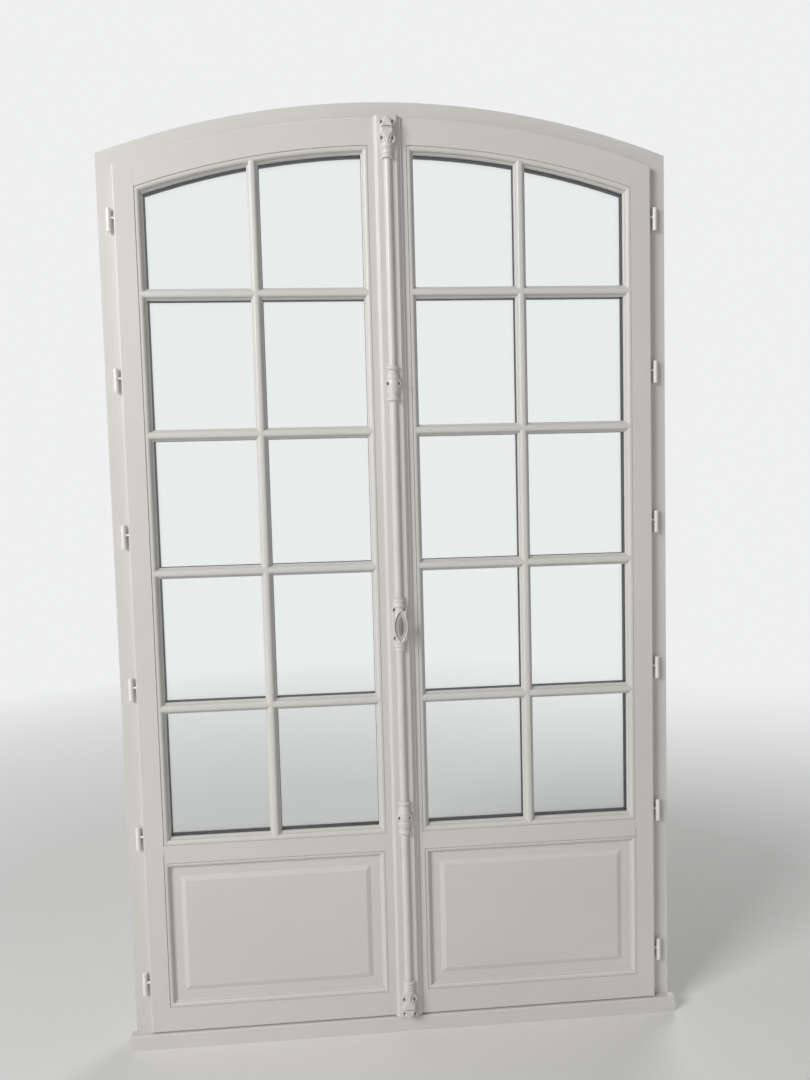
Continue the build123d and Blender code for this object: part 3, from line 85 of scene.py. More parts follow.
plated_steel = (0.62, 0.62, 0.61)
# Dark steel of the trim screws, made darker still to paint the shade in their eyelets
dark_steel_and_eyelet_shade = (0.30, 0.29, 0.27)
seal_grey = (0.62, 0.61, 0.58)

# How closely the brush strokes lie along X, Y and Z on each kind of member

upright_strokes = (700.0, 700.0, 9.0)
level_strokes = (9.0, 700.0, 700.0)
lattice_strokes = (90.0, 400.0, 90.0)

# Small lengths, in metres

mm = 0.001
hair = 0.1 * mm
merge_distance = 0.001 * mm

# How squarely a face looks along Y to count as the front or the back of a piece

facing = 0.9

# Places on the bolt trim, in millimetres: depths from the cover strip's face, widths from its
# middle, and heights from a cap's rings or from the middle of the handle box or the knob

cover_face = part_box("cover_strip")[0].y
cap_ring_height = 33.0
leaf_front = 11.0
block_front = 15.0
screw_seat = 3.5
cap_screw_across = 12.8
cap_screw_heights = (12.8, 49.0)
guide_screw_across = 13.3
handle_screw_across = 12.7
handle_screw_height = 34.7
knob_hollow_half_width = 14.4
knob_hollow_half_height = 37.0
knob_hollow_floor = 46.5
cap_slot_floor = 9.0
cap_slot_low = 35.1
cap_slot_high = 37.9
cap_slot_across = 13.4

# Lengths over which the painted shade in the knob's hollow comes in, in millimetres

hollow_fade_across = 0.8
hollow_fade_inwards = 1.0

# Turn from one screw's slot to the next, in degrees

screw_turn_step = 37.0

# Places and sizes on the stage, in metres

lamp_aim = (0.0, 0.0, 1.15)
key_lamp_place = (-4.2, -3.5, 3.6)
key_lamp_size = 2.4
fill_lamp_place = (4.2, -2.6, 1.5)
fill_lamp_size = 2.6
back_lamp_place = (2.8, 4.6, 3.0)
back_lamp_size = 3.0
floor_radius = 30.0
floor_fade_start = 1.6
floor_fade_end = 4.5

# The camera's film in millimetres, and the height of its image in pixels

film_width = 36.0
image_height = 1080.0

Lobe = namedtuple("Lobe", "across up width length rise lean depth")

# Carved lobes of a cap, in millimetres with their lean in degrees: the right-hand one of each pair,
# then those on its centre line
paired_lobes = [
    Lobe(6.2, 8.0, 2.3, 6.0, 1.7, 8.0, leaf_front),
    Lobe(8.8, 16.5, 2.4, 6.0, 1.9, 20.0, leaf_front),
    Lobe(12.2, 24.0, 2.2, 4.6, 1.7, 28.0, leaf_front),
    Lobe(7.6, 53.0, 3.2, 4.6, 2.8, -30.0, leaf_front),
    Lobe(3.0, 47.5, 1.3, 6.0, 1.3, -14.0, block_front),
    Lobe(4.4, 56.2, 3.0, 3.2, 3.2, 0.0, leaf_front),
]
centre_lobes = [
    Lobe(0.0, 50.0, 1.6, 7.5, 1.7, 0.0, block_front),
    Lobe(0.0, 57.6, 3.2, 2.9, 4.2, 0.0, leaf_front),
]


# Shader writing

class Wire:
    """A value between two shader nodes, on which Python's arithmetic adds Math nodes."""

    def __init__(self, tree, socket):
        self.tree = tree
        self.socket = socket

    def maths(self, operation, first, second):
        return self.tree.node("ShaderNodeMath", {"operation": operation}, {0: first, 1: second})

    def __add__(self, other):
        return self.maths("ADD", self, other)

    def __radd__(self, other):
        return self.maths("ADD", other, self)

    def __sub__(self, other):
        return self.maths("SUBTRACT", self, other)

    def __rsub__(self, other):
        return self.maths("SUBTRACT", other, self)

    def __mul__(self, other):
        return self.maths("MULTIPLY", self, other)

    def __rmul__(self, other):
        return self.maths("MULTIPLY", other, self)

    def __abs__(self):
        return self.tree.node("ShaderNodeMath", {"operation": "ABSOLUTE"}, {0: self})

    def larger(self, other):
        return self.maths("MAXIMUM", self, other)


class ShaderTree:
    """The nodes of one material or of the world."""

    def __init__(self, tree, end_kind):
        self.tree = tree
        self.end_kind = end_kind
        self.tree.nodes.clear()

    def node(self, kind, settings=None, inputs=None, output=0):
        """Adds a node with its settings, then its sockets, and returns one of its outputs."""
        made = self.tree.nodes.new(kind)
        for name, value in (settings or {}).items():
            setattr(made, name, value)
        for key, value in (inputs or {}).items():
            socket = find_socket(made.inputs, key)
            if isinstance(value, Wire):
                self.tree.links.new(value.socket, socket)
            else:
                socket.default_value = value
        return Wire(self, find_socket(made.outputs, output))

    def seen(self):
        """1 where the camera looks directly, in a gloss or through glass."""
        rays = ("Is Camera Ray", "Is Glossy Ray", "Is Transmission Ray")
        direct, gloss, through = [self.node("ShaderNodeLightPath", output=name) for name in rays]
        return direct.larger(gloss).larger(through)

    def mixed(self, amount, first, second):
        """Mixes two shaders."""
        return self.node("ShaderNodeMixShader", inputs={0: amount, 1: first, 2: second})

    def finish_with(self, shader):
        end = self.tree.nodes.new(self.end_kind)
        self.tree.links.new(shader.socket, end.inputs["Surface"])


class Finish(ShaderTree):
    """One material, written as nodes that end in a Principled surface."""

    def __init__(self, name, colour):
        self.material = bpy.data.materials.new(name)
        self.material.use_nodes = True
        self.material.diffuse_color = (*colour, 1)
        super().__init__(self.material.node_tree, "ShaderNodeOutputMaterial")

    def place(self):
        return self.node("ShaderNodeTexCoord", output="Object")

    def parts(self):
        """The three Object coordinates, each on its own."""
        place = {0: self.place()}
        return [self.node("ShaderNodeSeparateXYZ", inputs=place, output=name) for name in "XYZ"]

    def distance(self):
        """How far a place is from the origin."""
        length = {"operation": "LENGTH"}
        return self.node("ShaderNodeVectorMath", length, {0: self.place()}, "Value")

    def stretched(self, scale):
        return self.node("ShaderNodeMapping", inputs={"Vector": self.place(), "Scale": scale})

    def noise(self, vector, scale, detail=3.0, roughness=0.5):
        sizes = {"Vector": vector, "Scale": scale, "Detail": detail, "Roughness": roughness}
        return self.node("ShaderNodeTexNoise", inputs=sizes, output="Fac")

    def between(self, low, high, value):
        """Spreads the stretch of a value from low to high over 0 to 1."""
        inputs = {"Value": value, "From Min": low, "From Max": high}
        return self.node("ShaderNodeMapRange", inputs=inputs)

    def blend(self, amount, first, second):
        """Mixes two colours."""
        inputs = {"Factor_Float": amount, "A_Color": first, "B_Color": second}
        return self.node("ShaderNodeMix", {"data_type": "RGBA"}, inputs, "Result_Color")

    def tones(self, amount, colour, start, end):
        """Runs from one shade of a colour to another as the amount goes from 0 to 1."""
        return self.blend(amount, shade(colour, start), shade(colour, end))

    def bump(self, height, depth, under=None):
        inputs = {"Height": height, "Distance": depth}
        if under:
            inputs["Normal"] = under
        return self.node("ShaderNodeBump", inputs=inputs, output="Normal")

    def eased_edges(self, radius):
        """The slight round that paint and sanding leave on every arris."""
        return self.node("ShaderNodeBevel", {"samples": 4}, {"Radius": radius}, "Normal")

    def principled(self, **sockets):
        """A Principled shader; Base_Color stands for the socket Base Color, and so on."""
        inputs = {name.replace("_", " "): value for name, value in sockets.items()}
        return self.node("ShaderNodeBsdfPrincipled", inputs=inputs)

    def surface(self, **sockets):
        """Ends the material in a Principled shader."""
        self.finish_with(self.principled(**sockets))
        return self.material


def find_socket(sockets, key):
    if isinstance(key, int):
        return sockets[key]
    for socket in sockets:
        if socket.identifier == key:
            return socket
    return sockets[key]


def shade(colour, factor):
    """A colour made lighter or darker, as a socket value."""
    return tuple(part * factor for part in colour) + (1.0,)


def layered(first, second, share):
    """The first pattern for its share of the whole, and the second for the rest."""
    return first * share + second * (1.0 - share)


def swing(pattern, spread):
    """A change of up to half the spread either way, as the pattern goes from 0 to 1."""
    return (pattern - 0.5) * spread


# Finishes

def brushed_paint(name, colour, paint, stroke_scale):
    """Satin paint with faint brush strokes, uneven sheen and a slight drift of tone."""
    finish = Finish(name, colour)
    place = finish.place()
    strokes = finish.noise(finish.stretched(stroke_scale), scale=1.0, detail=5.0, roughness=0.6)
    ripple = finish.noise(place, scale=18.0, detail=2.0)
    cloud = finish.noise(place, scale=2.3, detail=2.0)
    tone = finish.between(0.3, 0.7, layered(cloud, strokes, share=0.7))
    height = layered(strokes, ripple, share=0.7)
    return finish.surface(
        Base_Color=finish.tones(tone, colour, start=0.95, end=1.03),
        Roughness=paint.sheen_roughness + swing(strokes, spread=0.16) + swing(ripple, spread=0.08),
        Normal=finish.bump(height, paint.stroke_depth, finish.eased_edges(paint.arris_round)),
    )


def cast_paint(name, colour, gloss_roughness, film_depth):
    """Thick paint over a casting: it pools a little and shows fine pits."""
    finish = Finish(name, colour)
    place = finish.place()
    pool = finish.noise(place, scale=90.0, detail=3.0)
    pits = finish.noise(place, scale=420.0, detail=2.0)
    cloud = finish.noise(place, scale=14.0, detail=2.0)
    tone = finish.between(0.3, 0.7, layered(cloud, pool, share=0.6))
    return finish.surface(
        Base_Color=finish.tones(tone, colour, start=0.93, end=1.03),
        Roughness=gloss_roughness + swing(pool, spread=0.2),
        Normal=finish.bump(layered(pool, pits, share=0.8), film_depth),
    )


def knob_hollow(finish):
    """1 in the hollow of the knob's face, inside its pointed oval rim, where shade is painted, and
    0 elsewhere.
    """
    across, depth, height = finish.parts()
    floor = cover_face - knob_hollow_floor * mm
    rise = (height - middle_height("knob")) * (1.0 / (knob_hollow_half_height * mm))
    room = (1.0 - rise * rise) * (knob_hollow_half_width * mm) - abs(across)
    inside = finish.between(0.0, hollow_fade_across * mm, room)
    return inside * finish.between(floor, floor - hollow_fade_inwards * mm, depth)


def shaded_hollow_knob_paint(name, colour, hollow_shade_colour):
    """The knob's paint: its plain colour on the rim, and in the hollow painted shade on a glossier
    surface.
    """
    finish = Finish(name, colour)
    pool = finish.noise(finish.place(), scale=90.0, detail=3.0)
    cloud = finish.noise(finish.place(), scale=30.0, detail=4.0)
    hollow = knob_hollow(finish)
    clean = finish.tones(cloud, colour, start=0.95, end=1.03)
    # Painted shade: the knob's hollow is darkened towards this colour
    painted_shade = finish.tones(cloud, hollow_shade_colour, start=0.8, end=1.2)
    return finish.surface(
        Base_Color=finish.blend(hollow, clean, painted_shade),
        Roughness=0.32 + swing(pool, spread=0.2) - hollow * 0.1,
        Normal=finish.bump(pool, depth=0.0003),
    )


def clear_glass(name, tint):
    """Float glass with the faintest unevenness and a few smears, which lets light through."""
    finish = Finish(name, tint)
    streaks = finish.noise(finish.stretched((3.0, 3.0, 8.0)), scale=1.0, detail=4.0)
    smear = finish.between(0.55, 0.8, streaks)
    wave = finish.noise(finish.place(), scale=2.0, detail=0.0)
    return finish.surface(
        Base_Color=(*tint, 1.0),
        Transmission_Weight=1.0,
        IOR=1.5,
        Roughness=smear * 0.02,
        Normal=finish.bump(wave, depth=0.0004),
    )


def warm_edge(name, colour):
    """The dark matt spacer of an insulating unit, with a fine grain."""
    finish = Finish(name, colour)
    grain = finish.noise(finish.place(), scale=600.0, detail=2.0)
    return finish.surface(
        Base_Color=finish.tones(grain, colour, start=0.7, end=1.4),
        Roughness=0.45 + grain * 0.2,
        Normal=finish.bump(grain, depth=0.0001),
    )


def soft_rubber(name, colour):
    """Matt rubber with the pale bloom that comes with age."""
    finish = Finish(name, colour)
    bloom = finish.noise(finish.place(), scale=60.0, detail=3.0)
    return finish.surface(
        Base_Color=finish.tones(bloom, colour, start=0.85, end=1.05),
        Roughness=0.6 + bloom * 0.2,
        Normal=finish.bump(bloom, depth=0.0001),
    )


def drawn_steel(name, colour, dullness):
    """Plated steel with drawing lines along its height and a dull patch here and there."""
    finish = Finish(name, colour)
    lines = finish.noise(finish.stretched((900.0, 900.0, 12.0)), scale=1.0, detail=3.0)
    dull = finish.between(0.4, 0.7, finish.noise(finish.place(), scale=25.0, detail=3.0))
    return finish.surface(
        Base_Color=finish.tones(dull, colour, start=1.0, end=0.75),
        Metallic=1.0,
        Roughness=dullness + dull * 0.2 + swing(lines, spread=0.15),
        Normal=finish.bump(lines, depth=0.00003),
    )


def give_finish(names, material):
    """Puts one material on CAD nodes."""
    for name in names:
        wear(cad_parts[name], material)


def wear(piece, material):
    """Gives a piece one material and no other."""
    piece.data.materials.clear()
    piece.data.materials.append(material)


# Settings

class PaintSettings(bpy.types.PropertyGroup):
    wood_colour: bpy.props.FloatVectorProperty(
        name="Wood paint", description="Colour of the painted frame and leaves",
        subtype="COLOR", size=3, default=(0.69, 0.674, 0.64), min=0.0, max=1.0,
    )
    trim_colour: bpy.props.FloatVectorProperty(
        name="Trim paint", description="Colour of the painted bolt trim and its knob",
        subtype="COLOR", size=3, default=(0.70, 0.682, 0.645), min=0.0, max=1.0,
    )
    hinge_colour: bpy.props.FloatVectorProperty(
        name="Hinge white", description="Colour of the whiter sleeves of the hinges",
        subtype="COLOR", size=3, default=(0.86, 0.855, 0.84), min=0.0, max=1.0,
    )
    # Colour of the shade painted into the knob's hollow
    hollow_shade_colour: bpy.props.FloatVectorProperty(
        name="Knob hollow", description="Colour of the darkened paint in the hollow of the knob",
        subtype="COLOR", size=3, default=(0.25, 0.236, 0.212), min=0.0, max=1.0,
    )
    sheen_roughness: bpy.props.FloatProperty(
        name="Sheen roughness", description="Roughness of the satin paint",
        default=0.38, min=0.05, max=1.0, subtype="FACTOR",
    )
    stroke_depth: bpy.props.FloatProperty(
        name="Brush stroke depth", description="Depth of the brush strokes in the paint",
        default=0.00022, min=0.0, max=0.002, unit="LENGTH", precision=5,
    )
    arris_round: bpy.props.FloatProperty(
        name="Eased arrises", description="Radius to which paint and sanding ease the wood's edges",
        default=0.0009, min=0.0, max=0.005, unit="LENGTH", precision=5,
    )


class PanelSettings(bpy.types.PropertyGroup):
    face_growth: bpy.props.FloatProperty(
        name="Field growth", description="How far each raised field's flat face is widened",
        default=0.003, min=0.0, max=0.02, unit="LENGTH", precision=4,
    )
    slope_growth: bpy.props.FloatProperty(
        name="Slope growth", description="How far the foot of each field's slope is moved out",
        default=0.011, min=0.0, max=0.03, unit="LENGTH", precision=4,
    )


class CastingSettings(bpy.types.PropertyGroup):
    grain: bpy.props.FloatProperty(
        name="Casting grain", description="Finest detail that a painted casting keeps",
        default=0.00045, min=0.0003, max=0.002, unit="LENGTH", precision=5,
    )
    knob_grain: bpy.props.FloatProperty(
        name="Knob grain", description="Finest detail that the knob keeps",
        default=0.00036, min=0.0003, max=0.002, unit="LENGTH", precision=5,
    )
    paint_passes: bpy.props.IntProperty(
        name="Paint passes", description="How far thick paint has rounded the castings' creases",
        default=3, min=0, max=20,
    )
    screw_head_radius: bpy.props.FloatProperty(
        name="Screw head radius", description="Radius of the trim screws' domed heads",
        default=0.0026, min=0.001, max=0.004, unit="LENGTH", precision=5,
    )
    screw_head_rise: bpy.props.FloatProperty(
        name="Screw head rise", description="Height of the trim screws' domed heads",
        default=0.0012, min=0.0005, max=0.003, unit="LENGTH", precision=5,
    )
    screw_slot: bpy.props.FloatProperty(
        name="Screw slot", description="Width of the slot in each screw head",
        default=0.0007, min=0.0002, max=0.002, unit="LENGTH", precision=5,
    )


class GlassSettings(bpy.types.PropertyGroup):
    tint: bpy.props.FloatVectorProperty(
        name="Glass tint", description="Colour of the float glass",
        subtype="COLOR", size=3, default=(0.97, 0.985, 0.98), min=0.0, max=1.0,
    )
    spacer_colour: bpy.props.FloatVectorProperty(
        name="Spacer", description="Colour of the spacer between the panes",
        subtype="COLOR", size=3, default=(0.018, 0.021, 0.032), min=0.0, max=1.0,
    )


class StageSettings(bpy.types.PropertyGroup):
    floor_colour: bpy.props.FloatVectorProperty(
        name="Floor", description="Colour of the studio floor",
        subtype="COLOR", size=3, default=(0.80, 0.796, 0.788), min=0.0, max=1.0,
    )
    backdrop_colour: bpy.props.FloatVectorProperty(
        name="Backdrop", description="Colour seen behind the doors",
        subtype="COLOR", size=3, default=(0.86, 0.865, 0.87), min=0.0, max=1.0,
    )
    sky_strength: bpy.props.FloatProperty(
        name="Soft fill", description="Strength of the even light from all round",
        default=0.18, min=0.0, max=2.0,
    )
    key_power: bpy.props.FloatProperty(
        name="Key lamp", description="Power of the large lamp at the upper left of the room",
        default=262.0, min=0.0, max=1000.0, unit="POWER",
    )
    fill_power: bpy.props.FloatProperty(
        name="Fill lamp", description="Power of the weaker lamp on the right",
        default=16.0, min=0.0, max=1000.0, unit="POWER",
    )
    back_power: bpy.props.FloatProperty(
        name="Back lamp", description="Power of the lamp that lights the outdoor side",
        default=140.0, min=0.0, max=1000.0, unit="POWER",
    )
    camera_place: bpy.props.FloatVectorProperty(
        name="Camera place", description="Where the camera stands in the room",
        size=3, default=(-0.1429, -2.0667, 1.380), unit="LENGTH",
    )
    camera_yaw: bpy.props.FloatProperty(
        name="Yaw", description="Turn of the camera to the right",
        default=0.0784, subtype="ANGLE",
    )
    camera_pitch: bpy.props.FloatProperty(
        name="Pitch", description="Tilt of the camera downwards",
        default=0.0687, subtype="ANGLE",
    )
    camera_roll: bpy.props.FloatProperty(
        name="Roll", description="Turn of the camera about its own axis",
        default=0.0255, subtype="ANGLE",
    )
    focal_pixels: bpy.props.FloatProperty(
        name="Focal length", description="Focal length in pixels of an image 1080 pixels high",
        default=857.7, min=100.0, max=5000.0,
    )


# Modelling helpers

def select_only(piece):
    bpy.ops.object.select_all(action="DESELECT")
    piece.select_set(True)
    bpy.context.view_layer.objects.active = piece


def select_where(piece, kind, test):
    """Opens edit mode with only the points (VERT) or faces (FACE) selected that pass the test."""
    select_only(piece)
    bpy.ops.object.mode_set(mode="EDIT")
    bpy.ops.mesh.select_mode(type=kind)
    bpy.ops.mesh.select_all(action="DESELECT")
    bpy.ops.object.mode_set(mode="OBJECT")
    parts = piece.data.vertices if kind == "VERT" else piece.data.polygons
    for part in parts:
        part.select = test(part)
    bpy.ops.object.mode_set(mode="EDIT")


def merged_copy(node, name):
    """A copy of a CAD node's mesh as a piece of its own, with its loose triangles joined up."""
    piece = bpy.data.objects.new(name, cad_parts[node].data.copy())
    bpy.context.collection.objects.link(piece)
    select_only(piece)
    bpy.ops.object.mode_set(mode="EDIT")
    bpy.ops.mesh.select_all(action="SELECT")
    bpy.ops.mesh.remove_doubles(threshold=merge_distance)
    bpy.ops.object.mode_set(mode="OBJECT")
    return piece


def copied(seed, place, turn, scale):
    """A copy of a seed piece with a mesh of its own, turned in the door's plane."""
    piece = seed.copy()
    piece.data = seed.data.copy()
    piece.location = place
    piece.rotation_euler = (0.0, turn, 0.0)
    piece.scale = scale
    bpy.context.collection.objects.link(piece)
    return piece


def joined(piece, others):
    """Joins the others into the piece and rests it at the origin."""
    select_only(piece)
    for other in others:
        other.select_set(True)
    bpy.ops.object.join()
    bpy.ops.object.transform_apply(location=True, rotation=True, scale=True)


def apply_modifier(piece, name, kind, **settings):
    modifier = piece.modifiers.new(name, kind)
    for setting, value in settings.items():
        setattr(modifier, setting, value)
    select_only(piece)
    bpy.ops.object.modifier_apply(modifier=name)


def fuse(piece, grain):
    """Fuses overlapping shapes into one even skin."""
    apply_modifier(piece, "fuse", "REMESH", mode="VOXEL", voxel_size=grain, use_smooth_shade=True)


def paint_over(piece, grain, passes):
    """Fuses a casting into one skin and rounds its creases as thick paint does."""
    fuse(piece, grain)
    apply_modifier(piece, "relax", "SMOOTH", factor=0.5, iterations=passes)


def cut_away(piece, low, high):
    """Cuts a box, given by two of its corners, out of a piece."""
    bpy.ops.object.select_all(action="DESELECT")
    bpy.ops.mesh.primitive_cube_add(size=1.0, location=(low + high) / 2, scale=high - low)
    cutter = bpy.context.object
    apply_modifier(piece, "cut", "BOOLEAN", object=cutter, operation="DIFFERENCE", solver="EXACT")
    bpy.data.objects.remove(cutter)


def fit(piece, node, body, material):
    """Dresses a finished piece and puts it in its node's place."""
    wear(piece, material)
    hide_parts(node)
    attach(piece, body)


# Carved ornament of the rod-end caps

def lobe_seed():
    """One carved lobe, from which all are copied: a unit ball drawn in towards its tip."""
    bpy.ops.object.select_all(action="DESELECT")
    bpy.ops.mesh.primitive_uv_sphere_add(segments=24, ring_count=16, radius=1.0)
    seed = bpy.context.object
    for height, narrower in ((0.2, 0.85), (0.55, 0.75)):
        select_where(seed, "FACE", lambda face: face.center.z > height)
        squeeze = (narrower, narrower, 1.0)
        bpy.ops.transform.resize(value=squeeze, center_override=(0.0, 0.0, 0.0))
        bpy.ops.object.mode_set(mode="OBJECT")
    return seed


def carved(seed, lobe, side, foot, direction):
    """A lobe in its place. The direction is 1 on a cap that points up and -1 on the other."""
    place = (
        side * lobe.across * mm,
        cover_face - lobe.depth * mm,
        foot + direction * lobe.up * mm,
    )
    lean = side * radians(lobe.lean)
    turn = lean if direction > 0 else radians(180.0) - lean
    return copied(seed, place, turn, (lobe.width * mm, lobe.rise * mm, lobe.length * mm))


def cut_cap_slot(piece, foot, direction):
    """Cuts the slot across the block, through its whole width and into the plate behind it."""
    ends = (foot + direction * cap_slot_low * mm, foot + direction * cap_slot_high * mm)
    across = cap_slot_across * mm
    clear_of_block = cover_face - 2 * block_front * mm
    low = Vector((-across, clear_of_block, min(ends)))
    high = Vector((across, cover_face - cap_slot_floor * mm, max(ends)))
    cut_away(piece, low, high)


def cap_foot(node, direction):
    """The height at which a cap's rings end and its screwed plate begins."""
    low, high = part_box(node)
    start = low.z if direction > 0 else high.z
    return start + direction * cap_ring_height * mm


# Fields of the raised panels

def between_faces(value, low, high):
    """Whether a place lies between two faces and clear of both."""
    return low + hair < value < high - hair


def grow_field(piece, test, growth):
    """Moves the corners that pass the test outwards, by the same distance on every side."""
    select_where(piece, "VERT", lambda point: test(point.co))
    corners = [point.co for point in piece.data.vertices if point.select]
    middle = [(min(part) + max(part)) / 2 for part in zip(*corners)]
    half = [(max(part) - min(part)) / 2 for part in zip(*corners)]
    growing = (1.0 + growth / half[0], 1.0, 1.0 + growth / half[2])
    bpy.ops.transform.resize(value=growing, center_override=middle)
    bpy.ops.object.mode_set(mode="OBJECT")


# Screws of the bolt trim

def screw_places():
    """Across and height of every screw that holds the trim."""
    places = []
    for side in (-1, 1):
        for node, direction in (("top_cap", 1), ("bottom_cap", -1)):
            foot = cap_foot(node, direction)
            for up in cap_screw_heights:
                places.append((side * cap_screw_across * mm, foot + direction * up * mm))
        for node in ("upper_guide", "lower_guide"):
            places.append((side * guide_screw_across * mm, middle_height(node)))
        for end in (-1, 1):
            height = middle_height("handle_box") + end * handle_screw_height * mm
            places.append((side * handle_screw_across * mm, height))
    return places


def middle_height(node):
    low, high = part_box(node)
    return (low.z + high.z) / 2


def model_screw(casting):
    """One slotted screw, seated at the origin with its domed head towards the room."""
    radius = casting.screw_head_radius
    rise = casting.screw_head_rise
    shank_radius = 0.6 * radius
    shank_length = 26.0 * mm
    bpy.ops.object.select_all(action="DESELECT")
    bpy.ops.mesh.primitive_cylinder_add(
        vertices=32, radius=radius, depth=rise, location=(0.0, -rise / 2, 0.0),
        rotation=(radians(90.0), 0.0, 0.0),
    )
    screw = bpy.context.object
    bpy.ops.object.transform_apply(location=True, rotation=True, scale=True)
    select_where(screw, "FACE", lambda face: face.normal.y > facing)
    bpy.ops.mesh.inset(thickness=radius - shank_radius)
    bpy.ops.mesh.extrude_region_move(TRANSFORM_OT_translate={"value": (0.0, shank_length, 0.0)})
    bpy.ops.object.mode_set(mode="OBJECT")
    in_front = -rise / 2
    select_where(
        screw, "FACE", lambda face: face.normal.y < -facing and face.center.y < in_front
    )
    bpy.ops.mesh.bevel(offset=0.6 * rise, segments=4)
    bpy.ops.object.mode_set(mode="OBJECT")
    slot_corner = Vector((casting.screw_slot / 2, rise / 2, 1.5 * radius))
    slot_middle = Vector((0.0, -rise, 0.0))
    cut_away(screw, slot_middle - slot_corner, slot_middle + slot_corner)
    select_only(screw)
    bpy.ops.object.shade_smooth_by_angle(angle=radians(32.0))
    return screw


# Operators

class DOORS_OT_paint_wood(bpy.types.Operator):
    """Paint the hinges, and the frame and leaves with the brush drawn along each member"""

    bl_idname = "doors.paint_wood"
    bl_label = "Paint the wood"

    def execute(self, context):
        paint = context.scene.door_paint
        colour = tuple(paint.wood_colour)
        for name, nodes, strokes in (
            ("painted_upright", upright_wood, upright_strokes),
            ("painted_level", level_wood, level_strokes),
            ("painted_lattice", lattice_wood, lattice_strokes),
        ):
            give_finish(nodes, brushed_paint(name, colour, paint, strokes))
        white = tuple(paint.hinge_colour)
        sleeve = cast_paint("white_hinge_sleeve", white, gloss_roughness=0.3, film_depth=0.0001)
        give_finish(hinge_metal, sleeve)
        return {"FINISHED"}


class DOORS_OT_paint_trim(bpy.types.Operator):
    """Paint the surface bolt's castings, rods and knob"""

    bl_idname = "doors.paint_trim"
    bl_label = "Paint the bolt trim"

    def execute(self, context):
        paint = context.scene.door_paint
        colour = tuple(paint.trim_colour)
        enamel = cast_paint(casting_finish, colour, gloss_roughness=0.32, film_depth=0.0004)
        give_finish(bolt_trim, enamel)
        # The knob's paint carries painted shade in its hollow
        give_finish(["knob"], shaded_hollow_knob_paint(knob_finish, colour, tuple(paint.hollow_shade_colour)))
        return {"FINISHED"}


class DOORS_OT_glaze(bpy.types.Operator):
    """Finish the panes and the spacers between them"""

    bl_idname = "doors.glaze"
    bl_label = "Finish the glass"

    def execute(self, context):
        glass = context.scene.door_glass
        give_finish(glass_panes, clear_glass("float_glass", tuple(glass.tint)))
        give_finish(spacers, warm_edge("dark_spacer", tuple(glass.spacer_colour)))
        return {"FINISHED"}


class DOORS_OT_finish_hardware(bpy.types.Operator):
    """Finish the bare steel and the seal"""

    bl_idname = "doors.finish_hardware"
    bl_label = "Finish the hardware"

    def execute(self, context):
        give_finish(bare_steel, drawn_steel("zinc_plated_steel", plated_steel, dullness=0.28))
        give_finish(["weather_seal"], soft_rubber("seal_rubber", seal_grey))
        return {"FINISHED"}


class DOORS_OT_plane_panels(bpy.types.Operator):
    """Widen the sloping edge round the field of each raised panel"""

    bl_idname = "doors.plane_panels"
    bl_label = "Plane the panels"

    def execute(self, context):
        panels = context.scene.door_panels
        material = bpy.data.materials["painted_level"]
        for side in sides:
            node = f"{side}_raised_panel"
            low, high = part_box(node)

            def on_face(place):
                return not between_faces(place.y, low.y, high.y)

            def at_foot(place):
                return between_faces(place.x, low.x, high.x) and not on_face(place)

            piece = merged_copy(node, f"planed_{node}")
            grow_field(piece, on_face, panels.face_growth)
            grow_field(piece, at_foot, panels.slope_growth)
            fit(piece, node, f"{side}_leaf", material)
        return {"FINISHED"}


class DOORS_OT_carve_caps(bpy.types.Operator):
    """Carve the leaf and shell ornament of the two rod-end caps"""

    bl_idname = "doors.carve_caps"
    bl_label = "Carve the caps"

    def execute(self, context):
        casting = context.scene.door_casting
        seed = lobe_seed()
        for node, direction in (("top_cap", 1), ("bottom_cap", -1)):
            foot = cap_foot(node, direction)
            piece = merged_copy(node, f"carved_{node}")
            lobes = [carved(seed, lobe, 1, foot, direction) for lobe in centre_lobes]
            for side in (-1, 1):
                lobes += [carved(seed, lobe, side, foot, direction) for lobe in paired_lobes]
            joined(piece, lobes)
            fuse(piece, casting.grain)
            cut_cap_slot(piece, foot, direction)
            paint_over(piece, casting.grain, casting.paint_passes)
            fit(piece, node, "right_leaf", bpy.data.materials[casting_finish])
        bpy.data.objects.remove(seed)
        return {"FINISHED"}


class DOORS_OT_soften_castings(bpy.types.Operator):
    """Round the creases of the rod guides, the handle box and the knob under their paint"""

    bl_idname = "doors.soften_castings"
    bl_label = "Soften the castings"

    def execute(self, context):
        casting = context.scene.door_casting
        for node, body, grain, finish in (
            ("upper_guide", "right_leaf", casting.grain, casting_finish),
            ("lower_guide", "right_leaf", casting.grain, casting_finish),
            ("handle_box", "right_leaf", casting.grain, casting_finish),
            ("knob", "knob_set", casting.knob_grain, knob_finish),
        ):
            piece = merged_copy(node, f"painted_{node}")
            paint_over(piece, grain, casting.paint_passes)
            fit(piece, node, body, bpy.data.materials[finish])
        return {"FINISHED"}


class DOORS_OT_seat_screws(bpy.types.Operator):
    """Model one slotted screw and seat it in every eyelet of the trim"""

    bl_idname = "doors.seat_screws"
    bl_label = "Seat the trim screws"

    def execute(self, context):
        seed = model_screw(context.scene.door_casting)
        seat = cover_face - screw_seat * mm
        screws = []
        for count, (across, height) in enumerate(screw_places()):
            turn = radians(screw_turn_step * count)
            screws.append(copied(seed, (across, seat, height), turn, (1.0, 1.0, 1.0)))
        bpy.data.objects.remove(seed)
        screws[0].name = "slotted_trim_screws"
        joined(screws[0], screws[1:])
        # The screws' dark steel also paints the shade in the eyelets
        steel = drawn_steel("screw_steel_and_eyelet_shade", dark_steel_and_eyelet_shade, dullness=0.42)
        fit(screws[0], "trim_screws", "right_leaf", steel)
        return {"FINISHED"}


